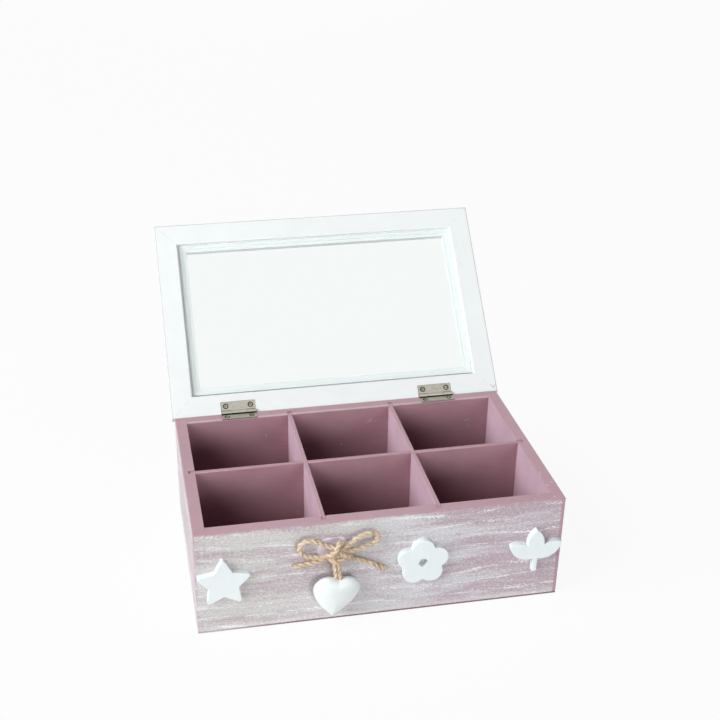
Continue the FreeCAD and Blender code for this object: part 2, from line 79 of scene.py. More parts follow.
class Slot(Enum):
    """Material slots of the record."""

    WHITEWASHED_WOOD = "whitewashed_wood"
    MAUVE_WOOD = "mauve_wood"
    WHITE_WOOD = "white_wood"
    CLEAR_GLASS = "clear_glass"
    CLEAR_SEALANT = "clear_sealant"
    NICKELLED_STEEL = "nickelled_steel"
    JUTE_TWINE = "jute_twine"
    WHITE_RESIN = "white_resin"
    SET_GLUE = "set_glue"


class FarEnd(Enum):
    """What a cord's far end is."""

    OBJECT = "object"
    BARE = "bare"


class Lay(Enum):
    """How a cord lies."""

    LOOSE = "loose"
    HANGING = "hanging"


class Socket(Enum):
    """Kinds of node group sockets."""

    VALUE = "NodeSocketFloat"
    VECTOR = "NodeSocketVector"
    COLOUR = "NodeSocketColor"


class Ramp(NamedTuple):
    """Smooth step: two values, and what they and all beyond them become."""

    low: Any
    high: Any
    to_low: float = 0.0
    to_high: float = 1.0


class Grain(NamedTuple):
    """Noise of one kind, drawn out where its place is stretched."""

    scale: float = 1.0
    detail: Any = 2.0
    roughness: float = 0.5
    stretch: Point | None = None


class Strokes(NamedTuple):
    """Brush streaks of one kind, with their size in millimetres."""

    length: float
    width: float
    seed: float
    detail: float


class Flecks(NamedTuple):
    """Scattered flecks: cells to the millimetre, share of cells with a fleck, and reach of a fleck."""

    scale: float
    share: float
    size: float


class Relief(NamedTuple):
    """Strength of a bump, and its depth in metres."""

    strength: float
    depth: float


def srgb(red: float, green: float, blue: float) -> Colour:
    """Linear colour for a display colour.

    Args:
        red: Red from 0 to 255.
        green: Green from 0 to 255.
        blue: Blue from 0 to 255.

    Returns:
        The colour with an alpha of 1.
    """
    def linear(value: float) -> float:
        """One channel, made linear."""
        share = value / 255
        return share / 12.92 if share <= 0.04045 else ((share + 0.055) / 1.055) ** 2.4

    return (linear(red), linear(green), linear(blue), 1.0)


WHITE = (1.0, 1.0, 1.0, 1.0)
LILAC_MAUVE = (srgb(208, 175, 190), srgb(198, 164, 179))
# Darker, rosier copy of the mauve: painted shade for the inner faces that face the front.
SHADED_ROSY_MAUVE = (srgb(183, 142, 152), srgb(173, 131, 141))


class Graph:
    """Places and joins shader nodes in one node tree."""

    def __init__(self, tree: bpy.types.NodeTree) -> None:
        """Keeps the tree to work in."""
        self.tree = tree

    def add(self, kind: str, *values: Any, **settings: Any) -> bpy.types.Node:
        """Places a node.

        Args:
            kind: Node type without its ShaderNode prefix.
            *values: What to feed to its first inputs.
            **settings: Properties of the node.

        Returns:
            The new node.
        """
        node = self.tree.nodes.new("ShaderNode" + kind)
        for key, setting in settings.items():
            setattr(node, key, setting)
        for socket, value in zip(node.inputs, values):
            self.feed(socket, value)
        return node

    def feed(self, socket: Wire, value: Any) -> None:
        """Links a socket to another, or sets its value.

        Args:
            socket: Socket to feed.
            value: Another socket, or a plain value.
        """
        if isinstance(value, bpy.types.NodeSocket):
            self.tree.links.new(value, socket)
        else:
            socket.default_value = value

    def math(self, operation: str, first: Any, second: Any = 0.0) -> Wire:
        """Result of a sum on two values."""
        return self.add("Math", first, second, operation=operation).outputs[0]

    def plus(self, first: Any, second: Any) -> Wire:
        """Two values added."""
        return self.math("ADD", first, second)

    def minus(self, first: Any, second: Any) -> Wire:
        """The first value less the second."""
        return self.math("SUBTRACT", first, second)

    def times(self, first: Any, second: Any) -> Wire:
        """Two values multiplied."""
        return self.math("MULTIPLY", first, second)

    def most(self, first: Any, second: Any) -> Wire:
        """The larger of two values."""
        return self.math("MAXIMUM", first, second)

    def size(self, value: Any) -> Wire:
        """A value without its sign."""
        return self.math("ABSOLUTE", value)

    def gap(self, first: Any, second: Any) -> Wire:
        """How far two values are apart."""
        return self.size(self.minus(first, second))

    def weighted(self, values: Sequence[Any], shares: Sequence[float]) -> Wire:
        """Sum of values, each times its share.

        Args:
            values: The values.
            shares: The share of each.

        Returns:
            The sum.
        """
        parts = [self.times(value, share) for value, share in zip(values, shares)]
        total = parts[0]
        for part in parts[1:]:
            total = self.plus(total, part)
        return total

    def vector_math(self, operation: str, first: Any, second: Any) -> Wire:
        """Result of a sum on two vectors."""
        return self.add("VectorMath", first, second, operation=operation).outputs[0]

    def distance(self, first: Any, second: Any) -> Wire:
        """Distance between two places."""
        return self.add("VectorMath", first, second, operation="DISTANCE").outputs["Value"]

    def split(self, vector: Wire) -> list[Wire]:
        """The three parts of a vector."""
        return list(self.add("SeparateXYZ", vector).outputs)

    def joined(self, first: Any, second: Any, third: Any) -> Wire:
        """A vector from three values."""
        return self.add("CombineXYZ", first, second, third).outputs[0]

    def mix(self, share: Any, first: Any, second: Any) -> Wire:
        """Colour between two colours.

        Args:
            share: Share of the second one.
            first: The first one.
            second: The second one.

        Returns:
            The mixed colour.
        """
        node = self.add("Mix", share, data_type="RGBA")
        self.feed(node.inputs[6], first)
        self.feed(node.inputs[7], second)
        return node.outputs[2]

    def tint(self, colour: Any, mask: Any, share: float, over: Colour) -> Wire:
        """Colour with a share of another one laid over it on a mask."""
        return self.mix(self.times(mask, share), colour, over)

    def mix_values(self, share: Any, first: Any, second: Any) -> Wire:
        """Value between two values.

        Args:
            share: Share of the second one.
            first: The first one.
            second: The second one.

        Returns:
            The mixed value.
        """
        node = self.add("Mix", share, data_type="FLOAT")
        self.feed(node.inputs[2], first)
        self.feed(node.inputs[3], second)
        return node.outputs[0]

    def mix_shaders(self, share: Any, first: Wire, second: Wire) -> Wire:
        """Surface between two surfaces."""
        return self.add("MixShader", share, first, second).outputs[0]

    def step(self, value: Any, ramp: Ramp) -> Wire:
        """Smooth step of a value."""
        return self.add("MapRange", value, *ramp, interpolation_type="SMOOTHSTEP").outputs[0]

    def noise(self, place: Any, grain: Grain) -> Wire:
        """Noise from 0 to 1 at a place.

        Args:
            place: Place in millimetres.
            grain: Kind of noise.

        Returns:
            The noise.
        """
        if grain.stretch:
            place = self.vector_math("MULTIPLY", place, grain.stretch)
        node = self.add("TexNoise")
        given = {"Vector": place, "Scale": grain.scale, "Detail": grain.detail, "Roughness": grain.roughness}
        for label, value in given.items():
            self.feed(node.inputs[label], value)
        return node.outputs["Fac"]

    def place_mm(self, on_lid: bool = False) -> Wire:
        """Object coordinates in millimetres.

        Args:
            on_lid: True for the place that a point of the open lid has when the lid is shut.

        Returns:
            The place.
        """
        node = self.add("TexCoord")
        place = self.vector_math("MULTIPLY", node.outputs["Object"], (PER_METRE,) * 3)
        if not on_lid:
            return place
        shift = PIN_LINE - Matrix.Rotation(LID_OPEN, 3, "X") @ PIN_LINE
        return self.add("Mapping", place, shift, (LID_OPEN, 0.0, 0.0)).outputs[0]

    def bump(self, height: Any, relief: Relief) -> Wire:
        """Normal from a height of 0 to 1.

        Args:
            height: The height.
            relief: Strength and depth of the bump.

        Returns:
            The bent normal.
        """
        node = self.add("Bump", *relief)
        self.feed(node.inputs["Height"], height)
        return node.outputs["Normal"]

    def dress(self, shader: bpy.types.Node, colour: Any, roughness: Any, normal: Wire | None = None) -> None:
        """Feeds a shader its colour, its roughness and, where it has one, its bent normal.

        Args:
            shader: The Principled shader.
            colour: Base colour.
            roughness: Roughness.
            normal: Bent normal.
        """
        self.feed(shader.inputs["Base Color"], colour)
        self.feed(shader.inputs["Roughness"], roughness)
        if normal:
            self.feed(shader.inputs["Normal"], normal)


Row = tuple[str, Socket, Any]
PLACE: Row = ("Vector", Socket.VECTOR, (0, 0, 0))


def rows(kind: Socket, **defaults: Any) -> tuple[Row, ...]:
    """Group inputs of one kind, with their names and defaults."""
    return tuple((label, kind, value) for label, value in defaults.items())


class Effect:
    """Shader node group that several finishes share."""

    name: ClassVar[str]
    takes: ClassVar[tuple[Row, ...]]
    gives: ClassVar[tuple[tuple[str, Socket], ...]]

    @classmethod
    def tree(cls) -> bpy.types.NodeTree:
        """The group, built at its first use.

        Returns:
            The node group's tree.
        """
        found = bpy.data.node_groups.get(cls.name)
        if found is not None:
            return found
        tree = bpy.data.node_groups.new(cls.name, "ShaderNodeTree")
        for label, kind, value in cls.takes:
            socket = tree.interface.new_socket(label, in_out="INPUT", socket_type=kind.value)
            socket.default_value = value
        for label, kind in cls.gives:
            tree.interface.new_socket(label, in_out="OUTPUT", socket_type=kind.value)
        entry = tree.nodes.new("NodeGroupInput")
        leave = tree.nodes.new("NodeGroupOutput")
        graph = Graph(tree)
        for label, value in cls.wire(graph, entry.outputs).items():
            graph.feed(leave.inputs[label], value)
        return tree

    @classmethod
    def wire(cls, graph: Graph, given: Any) -> dict[str, Wire]:
        """Builds the group's nodes and returns its outputs by name."""
        raise NotImplementedError

    @classmethod
    def place(cls, graph: Graph, **values: Any) -> Any:
        """Places the group in a graph.

        Args:
            graph: Graph of a material or of another group.
            **values: What to feed to the inputs, by name.

        Returns:
            The group node's outputs.
        """
        node = graph.tree.nodes.new("ShaderNodeGroup")
        node.node_tree = cls.tree()
        for label, value in values.items():
            graph.feed(node.inputs[label], value)
        return node.outputs


class BrushStrokes(Effect):
    """Streaks of a stiff brush drawn level round the box."""

    name = "brush_strokes"
    takes = (PLACE, *rows(Socket.VALUE, Length=30.0, Width=3.0, Seed=0.0, Detail=3.0))
    gives = (("Streaks", Socket.VALUE),)
    roughness = 0.6

    @classmethod
    def wire(cls, graph: Graph, given: Any) -> dict[str, Wire]:
        """Noise drawn out along the walls.

        Args:
            graph: Graph of the group.
            given: The group's inputs by name.

        Returns:
            The group's outputs by name.
        """
        x, y, z = graph.split(given["Vector"])
        along = graph.math("DIVIDE", graph.plus(x, y), given["Length"])
        across = graph.math("DIVIDE", z, given["Width"])
        place = graph.joined(along, across, given["Seed"])
        return {"Streaks": graph.noise(place, Grain(detail=given["Detail"], roughness=cls.roughness))}

    @classmethod
    def streaks(cls, graph: Graph, place: Any, strokes: Strokes) -> Wire:
        """Streaks of one kind at a place."""
        values = dict(zip(("Length", "Width", "Seed", "Detail"), strokes))
        return cls.place(graph, Vector=place, **values)["Streaks"]


class EdgeBand(Effect):
    """Ragged band along the edges of an upright block."""

    name = "edge_band"
    takes = (PLACE, *rows(Socket.VECTOR, Low=(0, 0, 0), High=(1, 1, 1)),
             *rows(Socket.VALUE, Width=1.0, Ragged=0.5))
    gives = (("Mask", Socket.VALUE),)
    waves = Grain(0.4, 5.0, 0.65)
    wave_middle = 0.5

    @classmethod
    def wire(cls, graph: Graph, given: Any) -> dict[str, Wire]:
        """The middle one of the three distances to the block's faces is the distance to its nearest edge.

        Args:
            graph: Graph of the group.
            given: The group's inputs by name.

        Returns:
            The group's outputs by name.
        """
        place = given["Vector"]
        away = [graph.vector_math("ABSOLUTE", graph.vector_math("SUBTRACT", *pair), (0, 0, 0))
                for pair in ((place, given["Low"]), (given["High"], place))]
        x, y, z = graph.split(graph.vector_math("MINIMUM", *away))
        middle = graph.most(graph.math("MINIMUM", x, y), graph.math("MINIMUM", graph.most(x, y), z))
        wave = graph.minus(graph.noise(place, cls.waves), cls.wave_middle)
        edge = graph.plus(middle, graph.times(wave, given["Ragged"]))
        return {"Mask": graph.step(edge, Ramp(0.0, given["Width"], 1.0, 0.0))}


class Specks(Effect):
    """Scattered small flecks."""

    name = "specks"
    takes = (PLACE, *rows(Socket.VALUE, Scale=0.1, Share=0.1, Size=0.1))
    gives = (("Mask", Socket.VALUE),)
    bends = Grain(1.3, 3.0)
    core = 0.5

    @classmethod
    def wire(cls, graph: Graph, given: Any) -> dict[str, Wire]:
        """A fleck in a share of the cells, each of its own size.

        Args:
            graph: Graph of the group.
            given: The group's inputs by name.

        Returns:
            The group's outputs by name.
        """
        bent = graph.noise(given["Vector"], cls.bends)
        place = graph.vector_math("ADD", given["Vector"], graph.joined(bent, bent, 0.0))
        cells = graph.add("TexVoronoi")
        graph.feed(cells.inputs["Vector"], place)
        graph.feed(cells.inputs["Scale"], given["Scale"])
        lot, size, _ = graph.split(cells.outputs["Color"])
        chosen = graph.math("LESS_THAN", lot, given["Share"])
        reach = graph.times(given["Size"], size)
        inside = graph.step(cells.outputs["Distance"], Ramp(graph.times(reach, cls.core), reach, 1.0, 0.0))
        return {"Mask": graph.times(chosen, inside)}

    @classmethod
    def mask(cls, graph: Graph, place: Any, flecks: Flecks) -> Wire:
        """Mask of one kind of flecks at a place."""
        values = dict(zip(("Scale", "Share", "Size"), flecks))
        return cls.place(graph, Vector=place, **values)["Mask"]


class PaintFilm(Effect):
    """Unevenness of a brushed coat of paint."""

    name = "paint_film"
    takes = (PLACE, *rows(Socket.VALUE, Scale=1.0))
    gives = (("Tone", Socket.VALUE), ("Height", Socket.VALUE))
    clouds = Grain(0.05, 3.0)
    marks = Grain(detail=3.0, stretch=(0.16, 0.16, 1.1))
    grit = Grain(1.9)
    tone_shares = (0.65, 0.35)
    height_shares = (0.6, 0.4)

    @classmethod
    def wire(cls, graph: Graph, given: Any) -> dict[str, Wire]:
        """Broad clouds for the tone, and fine drag marks and grit for the height.

        Args:
            graph: Graph of the group.
            given: The group's inputs by name.

        Returns:
            The group's outputs by name.
        """
        scaled = graph.vector_math("MULTIPLY", given["Vector"], graph.joined(*(given["Scale"],) * 3))
        clouds, marks, grit = (graph.noise(scaled, grain) for grain in (cls.clouds, cls.marks, cls.grit))
        return {"Tone": graph.weighted((clouds, marks), cls.tone_shares),
                "Height": graph.weighted((marks, grit), cls.height_shares)}


class MauveCoat(Effect):
    """Dusty mauve paint with scuffs and painted shade low down, for the inside and the rims."""

    name = "mauve_coat"
    takes = (PLACE, *rows(Socket.COLOUR, Light=LILAC_MAUVE[0], Dark=LILAC_MAUVE[1],
                          Deep=srgb(132, 85, 89), Rim=srgb(201, 162, 170)))
    gives = (("Color", Socket.COLOUR), ("Height", Socket.VALUE))
    film_scale = 1.0
    tones = Ramp(0.3, 0.7)
    # Painted shade: the coat darkens towards the bottom of the compartments.
    painted_shade_low_down = Ramp(4.0, 64.0, 0.8, 0.0)
    on_rim = Ramp(74.7, 75.4, 0.0, 0.75)
    rubs = Flecks(0.09, 0.16, 0.11)
    rub_share = 0.35
    rub = srgb(226, 208, 214)
    knocks = Flecks(0.05, 0.12, 0.035)
    knock_share = 0.6
    knock_depth = 0.7
    knock = srgb(120, 84, 92)

    @classmethod
    def wire(cls, graph: Graph, given: Any) -> dict[str, Wire]:
        """Two tones of the paint, with painted shade darkening it low down and a tone of its own on the rim,
        with pale flecks and small knocks.

        Args:
            graph: Graph of the group.
            given: The group's inputs by name.

        Returns:
            The group's outputs by name.
        """
        place = given["Vector"]
        film = PaintFilm.place(graph, Vector=place, Scale=cls.film_scale)
        tone = graph.mix(graph.step(film["Tone"], cls.tones), given["Dark"], given["Light"])
        _, _, z = graph.split(place)
        # Painted shade, darkest at the bottom.
        tone = graph.mix(graph.step(z, cls.painted_shade_low_down), tone, given["Deep"])
        tone = graph.mix(graph.step(z, cls.on_rim), tone, given["Rim"])
        pale = graph.tint(tone, Specks.mask(graph, place, cls.rubs), cls.rub_share, cls.rub)
        knocks = Specks.mask(graph, place, cls.knocks)
        return {"Color": graph.tint(pale, knocks, cls.knock_share, cls.knock),
                "Height": graph.minus(film["Height"], graph.times(knocks, cls.knock_depth))}


class FibreLay(Effect):
    """Fibres of a spun yarn, from a place across and along it."""

    name = "fibre_lay"
    takes = (PLACE,)
    gives = (("Tone", Socket.VALUE), ("Height", Socket.VALUE))
    fine = Grain(detail=3.0, stretch=(5.0, 5.0, 0.5))
    slow = Grain(stretch=(1.8, 1.8, 0.35))
    tone_shares = (0.45, 0.55)

    @classmethod
    def wire(cls, graph: Graph, given: Any) -> dict[str, Wire]:
        """Fine lines drawn out along the yarn, over slower changes of tone.

        Args:
            graph: Graph of the group.
            given: The group's inputs by name.

        Returns:
            The group's outputs by name.
        """
        fine, slow = (graph.noise(given["Vector"], grain) for grain in (cls.fine, cls.slow))
        return {"Tone": graph.weighted((fine, slow), cls.tone_shares), "Height": fine}


@dataclass(frozen=True)
class Finish:
    """A surface finish, whose material is built at its first use."""

    name: str
    slot: Slot | None = None

    def material(self) -> bpy.types.Material:
        """The finish's material.

        Returns:
            The material, shared by every piece with this finish.
        """
        found = bpy.data.materials.get(self.name)
        if found is not None:
            return found
        made = bpy.data.materials.new(self.name)
        made.use_nodes = True
        made.node_tree.nodes.clear()
        graph = Graph(made.node_tree)
        shader = graph.add("BsdfPrincipled")
        surface = self.wire(graph, shader) or shader.outputs[0]
        graph.feed(graph.add("OutputMaterial").inputs["Surface"], surface)
        return made

    def wire(self, graph: Graph, shader: bpy.types.Node) -> Wire | None:
        """Feeds the shader, and returns another surface where the finish needs one."""
        raise NotImplementedError


@dataclass(frozen=True)
class WhitewashedWood(Finish):
    """Outer faces dry-brushed white over mauve, inner faces and rims plain mauve."""

    inside: tuple[Colour, Colour] = LILAC_MAUVE
    worn_edge: float = 0.0
    half_width: float = 120.0
    half_depth: float = 74.0
    height: float = 76.0
    inner_edge: float = 66.0
    outer_skin: Ramp = Ramp(-0.6, -0.2)
    gloss: Ramp = Ramp(0.2, 0.9, 0.60, 0.78)
    relief: Relief = Relief(0.5, 0.12 * MM)

    under: Colour = srgb(178, 158, 167)
    wash: Colour = srgb(208, 205, 202)
    wash_right: Colour = srgb(208, 207, 212)
    pit: Colour = srgb(150, 134, 142)
    white: Colour = srgb(240, 241, 239)
    edge: Colour = srgb(176, 136, 148)
    foot: Colour = srgb(112, 70, 80)
    scuff: Colour = srgb(232, 214, 220)

    # Cover of the wash
    bands: Strokes = Strokes(90.0, 13.0, 3.0, 3.0)
    middling: Strokes = Strokes(18.0, 2.6, 11.0, 3.0)
    dabs: Strokes = Strokes(1.9, 0.85, 23.0, 2.0)
    cover_shares: Point = (0.60, 0.28, 0.12)
    less_white_rightward: float = 0.0006
    # Painted shade: less white on the left side face.
    painted_shade_on_left_side: Ramp = Ramp(-119.8, -119.3, 0.11, 0.0)
    whitest: float = 2.0
    more_white_by_it: Ramp = Ramp(10.0, 55.0, 0.05, 0.0)
    cooler_rightward: Ramp = Ramp(-90.0, 60.0)
    covered: Ramp = Ramp(0.39, 0.62)
    dabs_of_white: Ramp = Ramp(0.50, 0.64, 0.0, 0.34)
    dabs_left_bare: Ramp = Ramp(0.50, 0.36, 0.0, 0.28)

    # Pale foot, and the dark line under it
    foot_waves: Strokes = Strokes(16.0, 5.0, 83.0, 4.0)
    foot_sway: float = 9.0
    foot_white: Ramp = Ramp(7.5, 11.5, 0.34, 0.0)
    foot_line: Ramp = Ramp(1.6, 2.3, 0.9, 0.0)
    foot_line_wave: float = 0.3
    foot_line_rightward: Ramp = Ramp(-119.0, -50.0, 0.45, 1.0)

    # Ridges and beads of thick white, and pits between them
    ridge_gap: float = 9.0
    ridge_waves: Strokes = Strokes(70.0, 24.0, 31.0, 1.0)
    ridge_ripples: Strokes = Strokes(6.5, 6.0, 53.0, 3.0)
    ridge_sway: tuple[float, float] = (13.0, 2.6)
    ridge_width: Ramp = Ramp(0.04, 0.19, 1.0, 0.0)
    ridge_breaks: tuple[Strokes, Ramp] = (Strokes(22.0, 5.0, 47.0, 3.0), Ramp(0.45, 0.55))
    ridge_nicks: tuple[Strokes, Ramp] = (Strokes(1.8, 1.1, 59.0, 2.0), Ramp(0.34, 0.50))
    ridge_patches: tuple[Strokes, Ramp] = (Strokes(55.0, 16.0, 71.0, 2.0), Ramp(0.40, 0.58, 0.45, 1.0))
    ridge_share: float = 0.85
    bead_width: Ramp = Ramp(0.20, 0.55, 1.0, 0.0)
    beads: tuple[Strokes, Ramp] = (Strokes(1.5, 1.2, 97.0, 1.0), Ramp(0.50, 0.60))
    bead_patches: tuple[Strokes, Ramp] = (Strokes(34.0, 9.0, 89.0, 2.0), Ramp(0.50, 0.60))
    pits: tuple[Strokes, Ramp] = (Strokes(1.5, 0.8, 61.0, 2.0), Ramp(0.60, 0.70))
    pit_patches: tuple[Strokes, Ramp] = (Strokes(50.0, 14.0, 67.0, 2.0), Ramp(0.42, 0.60))
    pit_share: float = 0.5
    height_shares: tuple[float, float] = (0.6, 0.5)

    # Scuffs and flecks on the mauve
    scuffs: tuple[tuple[Point, float], ...] = (((96.0, 66.0, 54.0), 8.0), ((23.0, 66.0, 63.0), 7.0))
    scuff_slant: float = 0.7
    scuff_draw: float = 0.3
    scuff_grain: Grain = Grain(0.9, 3.0)
    scuff_marks: Ramp = Ramp(0.60, 0.70)
    scuff_core: float = 0.3
    scuff_share: float = 0.8
    flecks: Flecks = Flecks(0.3, 0.4, 0.4)
    flecks_on_rim: Ramp = Ramp(75.0, 75.5)
    flecks_rightward: Ramp = Ramp(70.0, 120.0, 0.0, 0.6)

    # Bare edges
    band_width: float = 1.5
    band_ragged: float = 2.6
    waves: Grain = Grain(0.5, 4.0)
    wave_height: float = 2.2
    strip: Ramp = Ramp(3.2, 4.0, 0.8, 0.0)
    front_skin: Ramp = Ramp(-73.4, -73.1, 1.0, 0.0)
    bare_rightward: Ramp = Ramp(-120.0, 40.0, 0.4, 0.85)
    bare_on_top: Ramp = Ramp(66.0, 72.0, 0.0, 0.85)
    rub_reach: tuple[float, float] = (1.0, 2.0)
    rub_wave: float = 0.5

    def wash_colour(self, graph: Graph, place: Wire) -> tuple[Wire, Wire]:
        """Colour and height of the dry-brushed white.

        Args:
            graph: Graph of the material.
            place: Place on the box in millimetres.

        Returns:
            The colour socket and the height socket.
        """
        def streaks(strokes: Strokes) -> Wire:
            """Streaks of one kind."""
            return BrushStrokes.streaks(graph, place, strokes)

        def mask(strokes: Strokes, ramp: Ramp) -> Wire:
            """Mask made of streaks of one kind."""
            return graph.step(streaks(strokes), ramp)

        x, _, z = graph.split(place)
        dabs = streaks(self.dabs)
        cover = graph.weighted((streaks(self.bands), streaks(self.middling), dabs), self.cover_shares)
        cover = graph.minus(cover, graph.times(x, self.less_white_rightward))
        cover = graph.minus(cover, graph.step(x, self.painted_shade_on_left_side))
        cover = graph.plus(cover, graph.step(graph.gap(x, self.whitest), self.more_white_by_it))
        wash = graph.mix(graph.step(x, self.cooler_rightward), self.wash, self.wash_right)
        base = graph.mix(graph.step(cover, self.covered), self.under, wash)
        base = graph.mix(graph.step(dabs, self.dabs_of_white), base, self.white)
        base = graph.mix(graph.step(dabs, self.dabs_left_bare), base, self.under)
        ragged = graph.plus(z, graph.times(streaks(self.foot_waves), self.foot_sway))
        base = graph.mix(graph.step(ragged, self.foot_white), base, self.white)
        sway = graph.weighted((streaks(self.ridge_waves), streaks(self.ridge_ripples)), self.ridge_sway)
        comb = graph.math("PINGPONG", graph.math("DIVIDE", graph.plus(z, sway), self.ridge_gap / 2), 1.0)
        broken = graph.times(mask(*self.ridge_breaks), mask(*self.ridge_nicks))
        ridge = graph.times(graph.step(comb, self.ridge_width), broken)
        ridge = graph.times(ridge, mask(*self.ridge_patches))
        beaded = graph.times(graph.step(comb, self.bead_width), mask(*self.beads))
        ridge = graph.most(ridge, graph.times(beaded, mask(*self.bead_patches)))
        pits = graph.times(mask(*self.pits), mask(*self.pit_patches))
        base = graph.tint(base, pits, self.pit_share, self.pit)
        colour = graph.tint(base, ridge, self.ridge_share, self.white)
        return colour, graph.weighted((ridge, cover), self.height_shares)

    def scuffed(self, graph: Graph, place: Wire, colour: Wire) -> Wire:
        """Mauve with the pale scuffs on the inside of the back and the flecks along the right rim.

        Args:
            graph: Graph of the material.
            place: Place on the box in millimetres.
            colour: Colour of the mauve.

        Returns:
            The scuffed colour.
        """
        x, _, z = graph.split(place)
        slanted = graph.joined(graph.minus(x, graph.times(z, self.scuff_slant)),
                               graph.times(z, self.scuff_draw), 0.0)
        marks = graph.step(graph.noise(slanted, self.scuff_grain), self.scuff_marks)
        for middle, reach in self.scuffs:
            near = Ramp(reach * self.scuff_core, reach, self.scuff_share, 0.0)
            mask = graph.times(marks, graph.step(graph.distance(place, middle), near))
            colour = graph.mix(mask, colour, self.scuff)
        on_rim = graph.times(graph.step(z, self.flecks_on_rim), graph.step(x, self.flecks_rightward))
        flecks = Specks.mask(graph, place, self.flecks)
        return graph.mix(graph.times(flecks, on_rim), colour, self.scuff)

    def outside(self, graph: Graph, place: Wire, wash: Wire, wave: Wire) -> Wire:
        """The whitewash with mauve showing along its edges and a dark line at its foot.

        Args:
            graph: Graph of the material.
            place: Place on the box in millimetres.
            wash: Colour of the whitewash.
            wave: Height of the waves that make an edge ragged.

        Returns:
            The colour of the outer faces.
        """
        x, y, z = graph.split(place)
        high = (self.half_width, self.half_depth, self.height)
        low = (-self.half_width, -self.half_depth, 0.0)
        band = EdgeBand.place(graph, Vector=place, Low=low, High=high, Width=self.band_width,
                              Ragged=self.band_ragged)["Mask"]
        strip = graph.step(graph.plus(graph.minus(self.half_width, x), wave), self.strip)
        strip = graph.times(strip, graph.step(y, self.front_skin))
        rubbed = graph.most(graph.step(x, self.bare_rightward), graph.step(z, self.bare_on_top))
        colour = graph.mix(graph.most(graph.times(band, rubbed), strip), wash, self.edge)
        line = graph.step(graph.plus(z, graph.times(wave, self.foot_line_wave)), self.foot_line)
        line = graph.times(line, graph.step(x, self.foot_line_rightward))
        return graph.mix(line, colour, self.foot)

    def wire(self, graph: Graph, shader: bpy.types.Node) -> None:
        """Whitewash on the outside, and scuffed mauve inside and on the rims.

        Args:
            graph: Graph of the material.
            shader: Its Principled shader.
        """
        place = graph.place_mm()
        x, y, z = graph.split(place)
        out_x = graph.minus(graph.size(x), self.half_width)
        out_y = graph.minus(graph.size(y), self.half_depth)
        outer = graph.step(graph.most(out_x, out_y), self.outer_skin)
        wash, wash_height = self.wash_colour(graph, place)
        wave = graph.times(graph.noise(place, self.waves), self.wave_height)
        outside = self.outside(graph, place, wash, wave)
        light, dark = self.inside
        coat = MauveCoat.place(graph, Vector=place, Light=light, Dark=dark)
        inner = self.scuffed(graph, place, coat["Color"])
        from_edge = graph.plus(graph.gap(y, self.inner_edge), graph.minus(self.height, z))
        rub = graph.plus(from_edge, graph.times(wave, self.rub_wave))
        inner = graph.mix(graph.step(rub, Ramp(*self.rub_reach, self.worn_edge, 0.0)), inner, self.scuff)
        height = graph.mix_values(outer, coat["Height"], wash_height)
        graph.dress(shader, graph.mix(outer, inner, outside), graph.step(wash_height, self.gloss),
                    graph.bump(height, self.relief))


@dataclass(frozen=True)
class MauvePaint(Finish):
    """Matt mauve paint of the dividers and the base."""

    tones: tuple[Colour, Colour] = LILAC_MAUVE
    gloss: Ramp = Ramp(0.2, 0.8, 0.58, 0.72)
    relief: Relief = Relief(0.4, 0.08 * MM)

    def wire(self, graph: Graph, shader: bpy.types.Node) -> None:
        """The mauve coat alone.

        Args:
            graph: Graph of the material.
            shader: Its Principled shader.
        """
        light, dark = self.tones
        coat = MauveCoat.place(graph, Vector=graph.place_mm(), Light=light, Dark=dark)
        graph.dress(shader, coat["Color"], graph.step(coat["Height"], self.gloss),
                    graph.bump(coat["Height"], self.relief))


